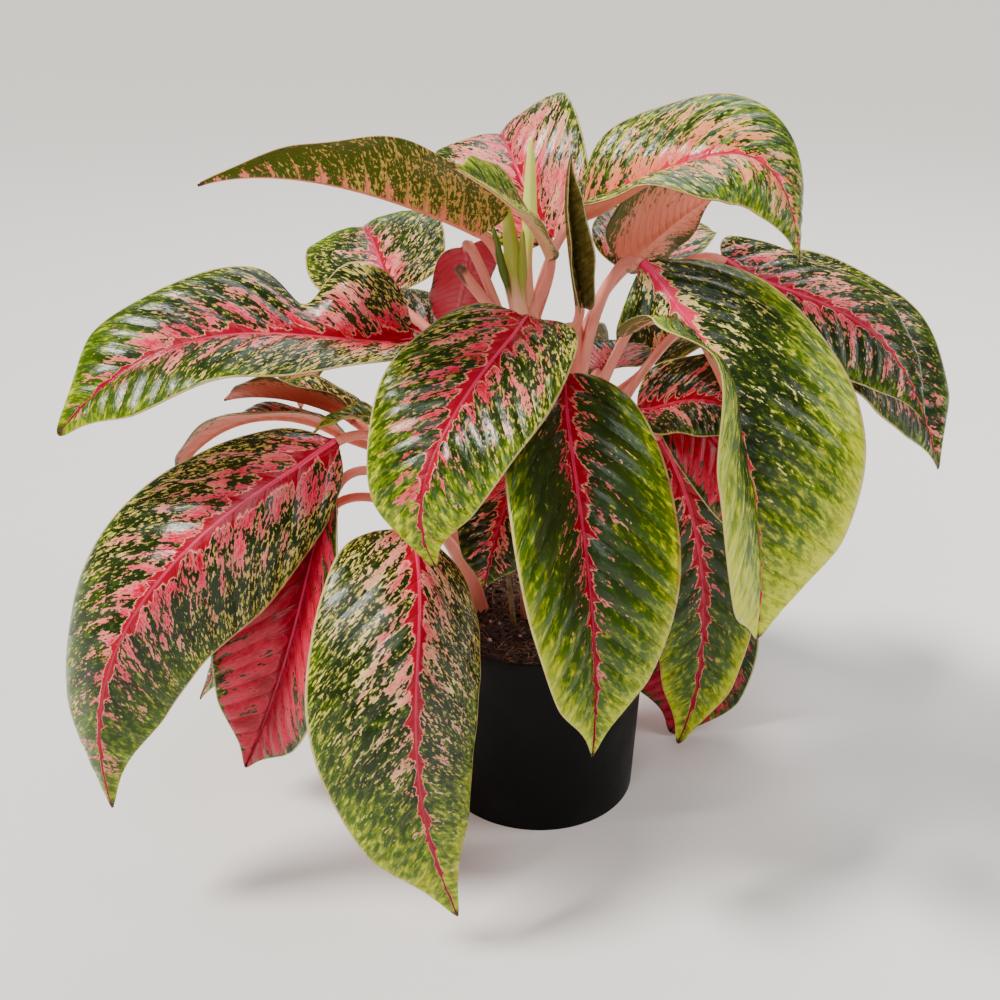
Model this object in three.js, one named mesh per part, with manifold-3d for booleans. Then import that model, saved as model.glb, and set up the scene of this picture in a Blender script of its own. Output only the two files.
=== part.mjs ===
// Potted aglaonema: a nursery pot, its potting mix, leafy stems, spears and leaf blades.
// Sizes are in millimetres, +Z is up, and the origin is the centre of the pot's foot.
import * as THREE from 'three';
import { mergeVertices } from 'three/addons/utils/BufferGeometryUtils.js';
import Module from 'manifold-3d';

const wasm = await Module();
wasm.setup();

// Driving dimensions
const GAP = 0.3;
const WELD = 0.0001;
const POT = { height: 109, foot: 55, rim: 60, wall: 1.4, floor: 2, round: 3, segments: 44 };
const POT_RIM = { height: 5, lip: 1, slope: 0.5 };
const POT_FOOT = { pad: 14, ring: 49, recess: 2.5, step: 1, holes: 8, holeRadius: 4, holeCircle: 34,
  holeSides: 12 };
const MIX = { top: 105, heave: 1.6, segments: 36, rings: [0.85, 0.62, 0.36, 0.15], flat: 0.2 };
// The bumps in the mix are waves about 45, 55 and 30 mm long.
const BUMPS = { across: 45 / (2 * Math.PI), along: 55 / (2 * Math.PI), slant: 30 / (2 * Math.PI) };
const CANE = { sink: 30, steps: 8, sides: 10 };
const PETIOLE = { foot: 4.2, neck: 2.4, flare: 0.45, steps: 6, sides: 6 };
// The way the first corner of each tube's rings looks.
const TUBE_FACE = [0.3, -1, 0.2];
// How a petiole leaves its cane and meets its blade, as shares of the cane and of its own reach.
const PETIOLE_PATH = { highest: 0.97, lean: 0.45, footPull: 0.35, endPull: 0.3 };
const SPEAR = { foot: 0.55, swell: 0.4, taper: 0.55, core: 0.4, steps: 7, sides: 8 };
const BLADE = { edge: 0.45, rib: 2.1, ribTip: 0.6, rows: 14, crowding: 0.09 };
const BLADE_COLUMNS = [-1, -0.5, 0, 0.5, 1];
// The rib stands proud at the base of the blade and sinks into it further on.
const RIB = { top: 0.9, sunk: 0.15, taper: 0.6 };
const DRIP = { slimming: 0.5, start: 0.78, end: 0.97 };
const WAVE = { end: 0.87, lag: 1.7 };
const LOBE = { power: 1.5, end: 0.4 };
const NOTCH_SPREAD = 0.06;
const BLADE_DEFAULTS = { base: 0.52, fall: 0.8, lobe: 0.12, curl: -25, wave: 2, waves: 2.2, phase: 0 };

const COLOURS = {
  pot: { color: '#1b1b18', roughness: 0.55 },
  mix: { color: '#2f2019', roughness: 0.95 },
  petiole: { color: '#dc8f7e', roughness: 0.5 },
  green: { color: '#3f5a24', roughness: 0.35 },
  red: { color: '#8c2334', roughness: 0.35 },
  lime: { color: '#b4bd5a', roughness: 0.4 },
};

// The canes: where each one's foot and top lie, and its radius at each end.
const CANES = {
  main: { foot: [-2, -6, MIX.top], bend: [-6, -5, 190], top: [-10, -4, 272], radii: [7.5, 5.5] },
  right: { foot: [22, 0, MIX.top], bend: [18, -8, 190], top: [14, -9, 274], radii: [7, 5] },
  left: { foot: [-27, 8, MIX.top], bend: [-44, 0, 150], top: [-58, -6, 196], radii: [6.5, 4.5] },
  back: { foot: [6, 32, MIX.top], bend: [10, 44, 165], top: [12, 52, 225], radii: [6.5, 4.5] },
};

// The leaves: joint, near, far and tip are points on the midrib. Face is the way the upper side
// looks at the joint. Left and right are how far each half lifts, at the base and at the tip.
// Cane and rise say which cane the petiole leaves and at what share of its height.
const LEAVES = [
  { name: 'leaf_top_left', cane: 'main', rise: 0.86, joint: [-32, -10, 320], near: [-66, -45, 342],
    far: [-105, -80, 359], tip: [-142, -105, 361], width: 70, left: [40, 40], right: [10, 10] },
  { name: 'leaf_top_back', cane: 'main', rise: 0.92, joint: [2, 15, 311], near: [-13, 45, 340],
    far: [-21, 85, 351], tip: [-22, 135, 335], width: 80, face: [0, -0.6, 0.8],
    left: [10, -20], right: [38, 25] },
  { name: 'leaf_top_right', cane: 'main', rise: 0.96, joint: [19, 0, 326], near: [49, -18, 347],
    far: [89, -30, 360], tip: [116, -40, 313], width: 84, base: 0.55, fall: 0.9, lobe: 0.02, twist: -18,
    left: [80, 0], right: [0, -35], folds: [[0, 5], [0.3, -5], [0.5, -30], [1, -35]] },
  { name: 'leaf_young', cane: 'main', rise: 0.98, joint: [2, -10, 308], near: [-12, -40, 335],
    far: [-28, -75, 355], tip: [-41, -95, 367], width: 40, base: 0.8, left: [-30, -20], right: [55, 50] },
  { name: 'leaf_unfolding', cane: 'right', rise: 0.98, joint: [16, -26, 290], near: [11, -35, 316],
    far: [8, -44, 341], tip: [9, -54, 364], width: 32, face: [0.3, -1, 0], left: [70, 70],
    right: [70, 70] },
  { name: 'leaf_right_inner', cane: 'right', rise: 0.7, joint: [39, -3, 303], near: [51, 0, 313],
    far: [65, 6, 323], tip: [84, 16, 333], width: 60, face: [-0.4, 0.8, 0.4],
    left: [20, 10], right: [20, 10] },
  { name: 'leaf_right_back', cane: 'right', rise: 0.9, joint: [43, 36, 290], near: [59, 64, 298],
    far: [71, 96, 301], tip: [81, 126, 295], width: 66, face: [0, -0.4, 1], left: [20, 0], right: [20, 0] },
  { name: 'leaf_right_front', cane: 'right', rise: 0.78, joint: [45, -30, 310], near: [72, -74, 278],
    far: [90, -102, 225], tip: [99, -100, 149], width: 124, face: [0, -0.3, 1], base: 0.62,
    fall: 0.76, lobe: 0.03, left: [0, 10], right: [-40, 34], notch: { side: 1, at: 0.15, depth: 0.45 },
    folds: [[0, -60], [0.11, -50], [0.27, 44], [0.38, 60], [0.55, 47], [1, 34]] },
  { name: 'leaf_right_upper', cane: 'right', rise: 0.6, joint: [90, 10, 301], near: [129, 10, 285],
    far: [166, 0, 267], tip: [193, -15, 225], width: 72, left: [30, 22], right: [-50, -50] },
  { name: 'leaf_right_outer', cane: 'right', rise: 0.45, joint: [117, 45, 271], near: [165, 48, 251],
    far: [200, 42, 223], tip: [221, 32, 179], width: 90, face: [0.5, -0.5, 0.8],
    left: [20, 10], right: [10, 0] },
  { name: 'leaf_left_upper', cane: 'main', rise: 0.62, joint: [-64, -23, 270], near: [-112, -42, 279],
    far: [-166, -60, 281], tip: [-224, -75, 242], width: 86, face: [0, -0.3, 1], base: 0.32,
    fall: 0.56, lobe: 0, left: [22, -14], right: [60, 20], notch: { side: 1, at: 0.28, depth: 0.5 },
    folds: [[0, 60], [0.15, 75], [0.3, 15], [0.45, 14], [1, 20]] },
  { name: 'leaf_left_back', cane: 'main', rise: 0.7, joint: [-78, 25, 281], near: [-88, 62, 292],
    far: [-97, 100, 297], tip: [-106, 140, 285], width: 78, face: [0, -0.4, 1], left: [-10, -10],
    right: [15, 10] },
  { name: 'leaf_left_inner', cane: 'main', rise: 0.8, joint: [-38, 5, 309], near: [-39, 18, 293],
    far: [-43, 36, 272], tip: [-48, 58, 250], width: 36, face: [-0.3, 0.7, 0.6],
    left: [10, 10], right: [10, 10] },
  { name: 'leaf_front_upper', cane: 'main', rise: 0.74, joint: [-9, -40, 286], near: [-34, -85, 269],
    far: [-54, -112, 236], tip: [-50, -114, 194], width: 78, face: [0, -0.5, 1], left: [10, 0],
    right: [5, -5] },
  { name: 'leaf_front_middle', cane: 'right', rise: 0.4, joint: [8, -50, 262], near: [13, -95, 223],
    far: [20, -118, 170], tip: [22, -118, 95], width: 87, face: [0, -0.5, 1], base: 0.6, fall: 0.88,
    lobe: 0.06, left: [8, -8], right: [34, 44] },
  { name: 'leaf_front_lower', cane: 'left', rise: 0.3, joint: [-63, -80, 196], near: [-58, -125, 163],
    far: [-59, -142, 105], tip: [-42, -142, 19], width: 100, face: [0, -0.6, 1],
    left: [-58, -55], right: [0, 0] },
  { name: 'leaf_left_lower', cane: 'left', rise: 0.9, joint: [-100, -55, 230], near: [-146, -85, 208],
    far: [-196, -108, 156], tip: [-212, -112, 60], width: 92, face: [-0.3, -0.6, 0.8], lobe: 0,
    fall: 0.75, left: [-45, -75], right: [5, 0] },
  { name: 'leaf_left_red', cane: 'left', rise: 0.7, joint: [-102, -45, 202], near: [-114, -64, 171],
    far: [-126, -80, 129], tip: [-152, -82, 62], width: 84, face: [0, -0.8, 0.5], lobe: 0,
    left: [74, 30], right: [12, 0] },
  { name: 'leaf_left_shelf', cane: 'left', rise: 0.96, joint: [-105, -10, 217], near: [-134, -11, 226],
    far: [-165, -10, 218], tip: [-192, -8, 190], width: 56, left: [30, 20], right: [-5, -5] },
  { name: 'leaf_left_low_back', cane: 'left', rise: 0.5, joint: [-107, -20, 181], near: [-135, -20, 149],
    far: [-162, -22, 108], tip: [-187, -25, 66], width: 64, face: [-0.5, -0.4, 1],
    left: [10, 0], right: [10, 0] },
  { name: 'leaf_left_small', cane: 'left', rise: 1, joint: [-70, -38, 232], near: [-84, -40, 237],
    far: [-98, -42, 238], tip: [-112, -44, 231], width: 22, left: [10, 10], right: [10, 10] },
  { name: 'leaf_left_folded', cane: 'left', rise: 0.8, joint: [-98, 0, 220], near: [-117, 5, 227],
    far: [-142, 10, 230], tip: [-167, 15, 226], width: 60, left: [45, 40], right: [0, 0] },
  { name: 'leaf_right_short', cane: 'right', rise: 0.35, joint: [49, -5, 226], near: [70, -14, 236],
    far: [88, -24, 238], tip: [107, -34, 226], width: 54, lobe: 0.03, face: [0, -0.5, 1],
    left: [20, 0], right: [20, 0] },
  { name: 'leaf_right_red', cane: 'right', rise: 0.28, joint: [69, 0, 229], near: [88, -15, 215],
    far: [107, -25, 189], tip: [121, -30, 154], width: 52, face: [0, -0.8, 0.5],
    left: [20, 0], right: [20, 0] },
  { name: 'leaf_right_hanging', cane: 'right', rise: 0.2, joint: [64, 20, 201], near: [85, 10, 152],
    far: [92, 0, 88], tip: [81, -5, 22], width: 56, face: [0, -1, 0.4], fall: 0.6,
    left: [10, 0], right: [10, 0] },
  { name: 'leaf_right_low_back', cane: 'back', rise: 0.25, joint: [84, 62, 118], near: [92, 54, 72],
    far: [93, 44, 30], tip: [82, 34, 3], width: 84, face: [0, -1, 0.4], fall: 0.55, left: [5, 0],
    right: [5, 0] },
  { name: 'leaf_front_inner', cane: 'main', rise: 0.4, joint: [-9, -14, 202], near: [-19, -32, 186],
    far: [-26, -42, 165], tip: [-30, -44, 145], width: 46, face: [0, -0.6, 0.5],
    left: [10, 0], right: [10, 0] },
  { name: 'leaf_back_inner', cane: 'right', rise: 0.5, joint: [30, 24, 238], near: [38, 44, 237],
    far: [45, 60, 240], tip: [53, 76, 237], width: 46, left: [20, 0], right: [20, 0] },
  { name: 'leaf_back_left', cane: 'back', rise: 0.8, joint: [-58, 74, 236], near: [-96, 106, 244],
    far: [-130, 136, 220], tip: [-150, 154, 168], width: 84, left: [20, 5], right: [15, 5] },
  { name: 'leaf_back', cane: 'back', rise: 0.9, joint: [0, 84, 226], near: [2, 124, 224],
    far: [6, 154, 186], tip: [10, 166, 120], width: 86, left: [15, 5], right: [20, 5] },
  { name: 'leaf_back_right', cane: 'back', rise: 0.7, joint: [64, 76, 226], near: [96, 104, 242],
    far: [125, 126, 222], tip: [142, 140, 165], width: 84, left: [15, 5], right: [20, 5] },
  { name: 'leaf_back_low_left', cane: 'back', rise: 0.5, joint: [-20, 75, 180], near: [-32, 112, 165],
    far: [-40, 140, 118], tip: [-46, 150, 60], width: 80, left: [15, 5], right: [10, 5] },
  { name: 'leaf_back_low_right', cane: 'back', rise: 0.4, joint: [48, 82, 185], near: [72, 118, 170],
    far: [90, 142, 120], tip: [98, 150, 60], width: 78, left: [15, 5], right: [10, 5] },
];

// The rolled young leaves that stand in the crown, by foot, middle, tip and radius.
const SPEARS = [
  { foot: [-10, -4, 266], middle: [-7, 0, 312], tip: [-7, 8, 362], radius: 4.2 },
  { foot: [-10, -4, 266], middle: [-16, -8, 308], tip: [-19, -12, 336], radius: 4.8 },
  { foot: [-10, -4, 266], middle: [-20, -4, 296], tip: [-25, -6, 322], radius: 2.6 },
  { foot: [-10, -4, 266], middle: [-11, -8, 296], tip: [-11, -12, 322], radius: 2.6 },
];

const toRadians = THREE.MathUtils.degToRad;
const vector = (list) => new THREE.Vector3(...list);
const mix = THREE.MathUtils.lerp;
const ease = THREE.MathUtils.smoothstep;

// A closed body over rings of points that all have the same count, with a fan on each end.
function loft(rings) {
  const sides = rings[0].length;
  const points = rings.flat();
  const faces = [];
  for (let row = 0; row < rings.length - 1; row += 1) {
    for (let side = 0; side < sides; side += 1) {
      const a = row * sides + side;
      const b = row * sides + (side + 1) % sides;
      faces.push(a, b, b + sides, a, b + sides, a + sides);
    }
  }
  for (const [row, flip] of [[0, true], [rings.length - 1, false]]) {
    const centre = new THREE.Vector3();
    rings[row].forEach((point) => centre.addScaledVector(point, 1 / sides));
    points.push(centre);
    for (let side = 0; side < sides; side += 1) {
      const a = row * sides + side;
      const b = row * sides + (side + 1) % sides;
      faces.push(...(flip ? [b, a, points.length - 1] : [a, b, points.length - 1]));
    }
  }
  return bodyOf(points, faces);
}

function bodyOf(points, faces) {
  const geometry = new THREE.BufferGeometry();
  geometry.setAttribute('position', new THREE.Float32BufferAttribute(points.flatMap((p) => p.toArray()), 3));
  geometry.setIndex(faces);
  return geometry;
}

// Solids for joining and cutting
function solidOf(geometry) {
  const plain = geometry.clone();
  plain.deleteAttribute('normal');
  plain.deleteAttribute('uv');
  const merged = mergeVertices(plain, WELD);
  return new wasm.Manifold(new wasm.Mesh({
    numProp: 3,
    vertProperties: new Float32Array(merged.attributes.position.array),
    triVerts: new Uint32Array(merged.index.array),
  }));
}

function geometryOf(solid) {
  const mesh = solid.getMesh();
  const geometry = new THREE.BufferGeometry();
  const points = [];
  for (let i = 0; i < mesh.vertProperties.length; i += mesh.numProp) {
    points.push(...mesh.vertProperties.slice(i, i + 3));
  }
  geometry.setAttribute('position', new THREE.Float32BufferAttribute(points, 3));
  geometry.setIndex([...mesh.triVerts]);
  return geometry;
}

// The cubic that passes through four points, as a Bezier curve.
function curveThrough(p0, p1, p2, p3) {
  const blend = (a, b, c, d) => new THREE.Vector3().addScaledVector(p0, a / 6)
    .addScaledVector(p1, b / 6).addScaledVector(p2, c / 6).addScaledVector(p3, d / 6);
  return new THREE.CubicBezierCurve3(p0, blend(-5, 18, -9, 2), blend(2, -9, 18, -5), p3);
}

// Frames along a curve at even shares of its length, with one side vector carried along untwisted.
function framesAlong(curve, shares, face) {
  let normal = face.clone();
  return shares.map((share) => {
    const centre = curve.getPointAt(share);
    const tangent = curve.getTangentAt(share);
    normal = normal.clone().addScaledVector(tangent, -normal.dot(tangent)).normalize();
    return { centre, tangent, normal, side: new THREE.Vector3().crossVectors(tangent, normal) };
  });
}

function ring(frame, radius, sides) {
  return Array.from({ length: sides }, (_, i) => {
    const turn = -2 * Math.PI * i / sides;
    return frame.centre.clone()
      .addScaledVector(frame.side, radius * Math.cos(turn))
      .addScaledVector(frame.normal, radius * Math.sin(turn));
  });
}

function taperedTube(curve, radiusAt, steps, sides) {
  const shares = Array.from({ length: steps + 1 }, (_, i) => i / steps);
  const frames = framesAlong(curve, shares, vector(TUBE_FACE));
  return loft(frames.map((frame, i) => ring(frame, radiusAt(shares[i]), sides)));
}

// Blades
// Half the outline of an aroid leaf: 1 at its widest, round at the base and drawn out to a drip tip.
function outlineAt(share, leaf) {
  const widest = leaf.base / (leaf.base + leaf.fall);
  const rise = (share / widest) ** leaf.base;
  const fall = (Math.max(0, 1 - share) / (1 - widest)) ** leaf.fall;
  return rise * fall * (1 - DRIP.slimming * ease(share, DRIP.start, DRIP.end));
}

// How far a half lifts at a share of the length, in radians. Folds give lifts at shares of their own.
function liftAt([base, tip], folds, share) {
  if (!folds) return toRadians(mix(base, tip, share));
  const next = folds.findIndex(([place]) => place >= share);
  if (next === 0) return toRadians(folds[0][1]);
  const [[from, low], [to, high]] = [folds[next - 1], folds[next]];
  return toRadians(mix(low, high, ease(share, from, to)));
}

// What is left of a half's width where the leaf has a notch: its side, its place and its depth.
function notchedAt(leaf, hand, share) {
  if (!leaf.notch || leaf.notch.side !== hand) return 1;
  return 1 - leaf.notch.depth * Math.exp(-(((share - leaf.notch.at) / NOTCH_SPREAD) ** 2));
}

function midrib(leaf) {
  return curveThrough(vector(leaf.joint), vector(leaf.near), vector(leaf.far), vector(leaf.tip));
}

// Points of the upper and the lower side of one row across a blade.
function bladeRow(leaf, share, frame, length) {
  const spread = outlineAt(share, leaf);
  const twist = toRadians(leaf.twist ?? 0) * share;
  const side = frame.side.clone().multiplyScalar(Math.cos(twist))
    .addScaledVector(frame.normal, Math.sin(twist));
  const normal = frame.normal.clone().multiplyScalar(Math.cos(twist))
    .addScaledVector(frame.side, -Math.sin(twist));
  const curl = toRadians(leaf.curl);
  const swell = share < WAVE.end ? Math.sin(Math.PI * share / WAVE.end) : 0;
  const ribTop = mix(RIB.top * BLADE.rib, BLADE.edge, ease(share, 0, RIB.sunk));
  const ribUnder = mix(BLADE.rib, BLADE.ribTip, share ** RIB.taper);
  const upper = [];
  const lower = [];
  for (const column of BLADE_COLUMNS) {
    const out = Math.abs(column);
    const hand = column < 0 ? -1 : 1;
    const lift = column < 0 ? liftAt(leaf.left, null, share) : liftAt(leaf.right, leaf.folds, share);
    const reach = leaf.width / 2 * spread * notchedAt(leaf, hand, share);
    const width = Math.max(reach, mix(BLADE.rib, BLADE.ribTip, share));
    const across = (Math.sin(lift + curl * (out - 0.5)) - Math.sin(lift - curl / 2)) / curl;
    const above = -(Math.cos(lift + curl * (out - 0.5)) - Math.cos(lift - curl / 2)) / curl;
    const ripple = Math.sin(2 * Math.PI * (leaf.waves * share + leaf.phase) + (column < 0 ? 0 : WAVE.lag));
    const height = width * above + leaf.wave * out ** 2 * swell * ripple;
    const back = leaf.lobe * length * out ** LOBE.power * (1 - ease(share, 0, LOBE.end)) * spread;
    const slope = lift + curl * (out - 0.5);
    const outward = side.clone().multiplyScalar(column === 0 ? 0 : -Math.sin(slope) * hand)
      .addScaledVector(normal, column === 0 ? 1 : Math.cos(slope));
    const point = frame.centre.clone().addScaledVector(side, width * across * hand)
      .addScaledVector(normal, height).addScaledVector(frame.tangent, -back);
    upper.push(point.clone().addScaledVector(outward, column === 0 ? ribTop : BLADE.edge));
    lower.push(point.clone().addScaledVector(outward, column === 0 ? -ribUnder : -BLADE.edge));
  }
  return { upper, lower };
}

// A blade's rows lie closer together at its base and tip. Both sides are split into triangles alike.
function bladeGeometry(row) {
  const leaf = { ...BLADE_DEFAULTS, face: [0, 0, 1], ...row };
  const curve = midrib(leaf);
  const length = curve.getLength();
  const shares = Array.from({ length: BLADE.rows + 1 }, (_, i) => i / BLADE.rows)
    .map((s) => s - BLADE.crowding * Math.sin(2 * Math.PI * s));
  const frames = framesAlong(curve, shares, vector(leaf.face));
  const rows = shares.map((share, i) => bladeRow(leaf, share, frames[i], length));
  const count = BLADE_COLUMNS.length;
  const points = [...rows.flatMap((r) => r.upper), ...rows.flatMap((r) => r.lower)];
  const under = rows.length * count;
  const faces = [];
  for (let i = 0; i < BLADE.rows; i += 1) {
    for (let j = 0; j < count - 1; j += 1) {
      const a = i * count + j;
      const c = a + count;
      faces.push(a, a + 1, c + 1, a, c + 1, c);
      faces.push(under + a, under + c + 1, under + a + 1, under + a, under + c, under + c + 1);
    }
    const a = i * count;
    const b = a + count - 1;
    faces.push(a, a + count, under + a + count, a, under + a + count, under + a);
    faces.push(b, under + b, under + b + count, b, under + b + count, b + count);
  }
  const last = BLADE.rows * count;
  for (let j = 0; j < count - 1; j += 1) {
    faces.push(j, under + j, under + j + 1, j, under + j + 1, j + 1);
    const a = last + j;
    faces.push(a, a + 1, under + a + 1, a, under + a + 1, under + a);
  }
  return bodyOf(points, faces);
}

// Stems
function caneCurve(cane, deeper = 0) {
  const foot = vector(cane.foot);
  foot.z -= CANE.sink + deeper;
  return new THREE.QuadraticBezierCurve3(foot, vector(cane.bend), vector(cane.top));
}

function caneTube(cane, clear = 0) {
  const [low, high] = cane.radii;
  const radiusAt = (s) => mix(low, high, s) + clear;
  return solidOf(taperedTube(caneCurve(cane, clear), radiusAt, CANE.steps, CANE.sides));
}

function petioleCurve(leaf, cane) {
  const curve = caneCurve(cane);
  const sunk = CANE.sink / curve.getLength();
  const share = mix(sunk, 1, leaf.rise) * PETIOLE_PATH.highest;
  const foot = curve.getPointAt(share);
  const blade = midrib(leaf).getTangentAt(0);
  const end = vector(leaf.joint).addScaledVector(blade, -GAP);
  const reach = end.distanceTo(foot);
  const lead = end.clone().sub(foot).normalize().multiplyScalar(PETIOLE_PATH.lean)
    .addScaledVector(curve.getTangentAt(share), 1 - PETIOLE_PATH.lean).normalize();
  const first = foot.clone().addScaledVector(lead, reach * PETIOLE_PATH.footPull);
  const second = end.clone().addScaledVector(blade, -reach * PETIOLE_PATH.endPull);
  return new THREE.CubicBezierCurve3(foot, first, second, end);
}

function stemGeometry(name) {
  const cane = CANES[name];
  let stem = caneTube(cane);
  const slimming = (s) => mix(PETIOLE.foot, PETIOLE.neck, ease(s, 0, PETIOLE.flare));
  for (const leaf of LEAVES.filter((l) => l.cane === name)) {
    const tube = taperedTube(petioleCurve(leaf, cane), slimming, PETIOLE.steps, PETIOLE.sides);
    stem = stem.add(solidOf(tube));
  }
  if (name === 'main') stem = stem.subtract(spearSolid(GAP));
  return geometryOf(stem);
}

// The spears share one foot in the crown. Clear widens them into the pocket that they stand in.
function spearSolid(clear = 0) {
  const solids = SPEARS.map(({ foot, middle, tip, radius }) => {
    const curve = new THREE.QuadraticBezierCurve3(vector(foot), vector(middle), vector(tip));
    const bodyAt = (s) => mix(SPEAR.foot, 1, ease(s, 0, SPEAR.swell)) * (1 - s) ** SPEAR.taper;
    const thickness = (s) => radius * bodyAt(s) + SPEAR.core + clear;
    return solidOf(taperedTube(curve, thickness, SPEAR.steps, SPEAR.sides));
  });
  return solids.reduce((all, solid) => all.add(solid));
}

// Pot and mix
function turned(profile, segments) {
  const geometry = new THREE.LatheGeometry(profile.map(([r, z]) => new THREE.Vector2(r, z)), segments);
  return geometry.rotateX(Math.PI / 2);
}

function rodAt(x, y, low, high, radius) {
  const rod = new THREE.CylinderGeometry(radius, radius, high - low, POT_FOOT.holeSides);
  return solidOf(rod.rotateX(Math.PI / 2).translate(x, y, (low + high) / 2));
}

const outerRadiusAt = (z) => mix(POT.foot, POT.rim, z / POT.height);
const innerRadiusAt = (z) => outerRadiusAt(z) - POT.wall;

function potGeometry() {
  const { height, foot, floor, round } = POT;
  const neck = height - POT_RIM.height;
  const inside = floor + POT_FOOT.recess;
  const profile = [
    [0, 0], [POT_FOOT.pad, 0], [POT_FOOT.pad + POT_FOOT.step, POT_FOOT.recess],
    [POT_FOOT.ring - POT_FOOT.step, POT_FOOT.recess], [POT_FOOT.ring, 0], [foot - round, 0], [foot - round / 4, round / 3], [outerRadiusAt(round), round],
    [outerRadiusAt(neck), neck], [outerRadiusAt(neck) + POT_RIM.lip, neck + POT_RIM.slope],
    [outerRadiusAt(height) + POT_RIM.lip, height], [innerRadiusAt(height), height],
    [innerRadiusAt(inside), inside], [0, inside],
  ];
  let pot = solidOf(turned(profile, POT.segments));
  for (let i = 0; i < POT_FOOT.holes; i += 1) {
    const turn = 2 * Math.PI * i / POT_FOOT.holes;
    const x = POT_FOOT.holeCircle * Math.cos(turn);
    const y = POT_FOOT.holeCircle * Math.sin(turn);
    pot = pot.subtract(rodAt(x, y, -1, inside + 1, POT_FOOT.holeRadius));
  }
  return geometryOf(pot);
}

function bumpsAt(x, y) {
  return Math.sin(x / BUMPS.across) * Math.cos(y / BUMPS.along) + Math.sin((x + 2 * y) / BUMPS.slant) / 2;
}

// The mix fills the pot with a slightly heaped, uneven top, and each cane stands in a plain hole.
function mixGeometry() {
  const bottom = POT.floor + POT_FOOT.recess + GAP;
  const radii = MIX.rings.map((share) => share * innerRadiusAt(MIX.top));
  const edge = innerRadiusAt(MIX.top) - GAP;
  const profile = [[0, bottom], [innerRadiusAt(bottom) - GAP, bottom], [edge, MIX.top],
    ...radii.map((r) => [r, MIX.top]), [0, MIX.top]];
  const body = turned(profile, MIX.segments);
  const place = body.attributes.position;
  for (let i = 0; i < place.count; i += 1) {
    const [x, y, z] = [place.getX(i), place.getY(i), place.getZ(i)];
    const heap = 1 - ease(Math.hypot(x, y), MIX.flat * edge, edge - GAP / 2);
    const bumps = bumpsAt(x, y);
    if (z > MIX.top - GAP / 2) place.setZ(i, z + MIX.heave * heap * (1 + bumps));
  }
  let heaped = solidOf(body);
  for (const cane of Object.values(CANES)) heaped = heaped.subtract(caneTube(cane, 2 * GAP));
  return geometryOf(heaped);
}

const plant = new THREE.Group();

function addPart(name, geometry, colour) {
  const finish = new THREE.MeshStandardMaterial({ ...COLOURS[colour], metalness: 0 });
  const mesh = new THREE.Mesh(geometry, finish);
  mesh.name = name;
  plant.add(mesh);
}

addPart('pot', potGeometry(), 'pot');
addPart('potting_mix', mixGeometry(), 'mix');
for (const name of Object.keys(CANES)) addPart(`stem_${name}`, stemGeometry(name), 'petiole');
addPart('spears', geometryOf(spearSolid()), 'lime');
for (const leaf of LEAVES) {
  addPart(leaf.name, bladeGeometry(leaf), leaf.name.includes('red') ? 'red' : 'green');
}

export default plant;
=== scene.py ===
import functools
import math
import random

import bpy
import numpy as np
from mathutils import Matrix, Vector, noise


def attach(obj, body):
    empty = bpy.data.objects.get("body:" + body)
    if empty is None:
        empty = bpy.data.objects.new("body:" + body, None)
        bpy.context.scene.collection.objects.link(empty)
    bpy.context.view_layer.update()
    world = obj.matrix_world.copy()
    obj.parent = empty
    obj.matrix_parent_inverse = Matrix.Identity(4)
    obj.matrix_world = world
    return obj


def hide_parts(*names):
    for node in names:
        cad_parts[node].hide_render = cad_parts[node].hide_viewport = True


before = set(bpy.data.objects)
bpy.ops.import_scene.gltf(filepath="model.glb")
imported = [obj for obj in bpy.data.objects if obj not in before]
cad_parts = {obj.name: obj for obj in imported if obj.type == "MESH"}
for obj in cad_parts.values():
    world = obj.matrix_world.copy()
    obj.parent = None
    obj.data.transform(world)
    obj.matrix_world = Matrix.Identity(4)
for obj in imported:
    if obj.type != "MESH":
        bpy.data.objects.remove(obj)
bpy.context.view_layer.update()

MM = 0.001

# The pot, its rolled rim, and its foot with a standing ring and drain holes.
POT = dict(height=109, foot=55, rim=60, wall=1.4, floor=2.0, soft_edge=0.8, sides=128)
POT_RIM = dict(height=5, lip=1)
POT_FOOT = dict(pad=14, ring=49, recess=2.5, holes=8, hole_radius=4, hole_circle=34, hole_sides=24)

# The mix: its top, how it heaves, domes and roughens, the gaps that it leaves to the pot, and how
# clear of the pot the things on it lie.
MIX = dict(top=105, heave=1.6, sunk=0.6, dome=1.2, rough=0.9, flat=0.2, gap=0.1, foot_gap=0.3,
           clear=3, cells=150)
# Its crumbs are two sizes of lump: how deep, how wide, and a layer of the noise for each.
LUMPS = ((1.0, 9, 3), (0.7, 3.2, 8))
# What lies on it. Each copy is drawn from these ranges, and a jag moves each corner in or out.
ANY_TURN = (0, 6.3)
FIBRES = dict(count=1500, seed=11, length=(4, 11), radius=(0.12, 0.3), bow=1.6, tilt=0.25,
              lift=(0.1, 1.0), cuts=(-0.25, 0.0, 0.25))
CHIPS = dict(count=750, seed=12, size=(0.8, 2.6), longer=(1, 2.2), thinner=(0.35, 0.8), tilt=0.4,
             jag=(0.7, 1.3), lift=0.2)
STONES = dict(count=34, seed=13, size=(0.5, 1.1), jag=(0.8, 1.2), lift=0.5)
JAGS = 64

# A cane is ringed by old leaf scars. Steps and sides are the cells of a tube, along and around it.
CANE = dict(sink=30, scars=14, scar=0.35, scar_width=0.12, scar_slant=0.3, steps=60, sides=24)
PETIOLE = dict(foot=4.2, neck=2.4, flare=0.45, steps=26, sides=20)
# How a petiole leaves its cane and meets its blade, as shares of the cane and of its own reach.
PETIOLE_PATH = dict(highest=0.97, lean=0.45, foot_pull=0.35, end_pull=0.3)
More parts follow.
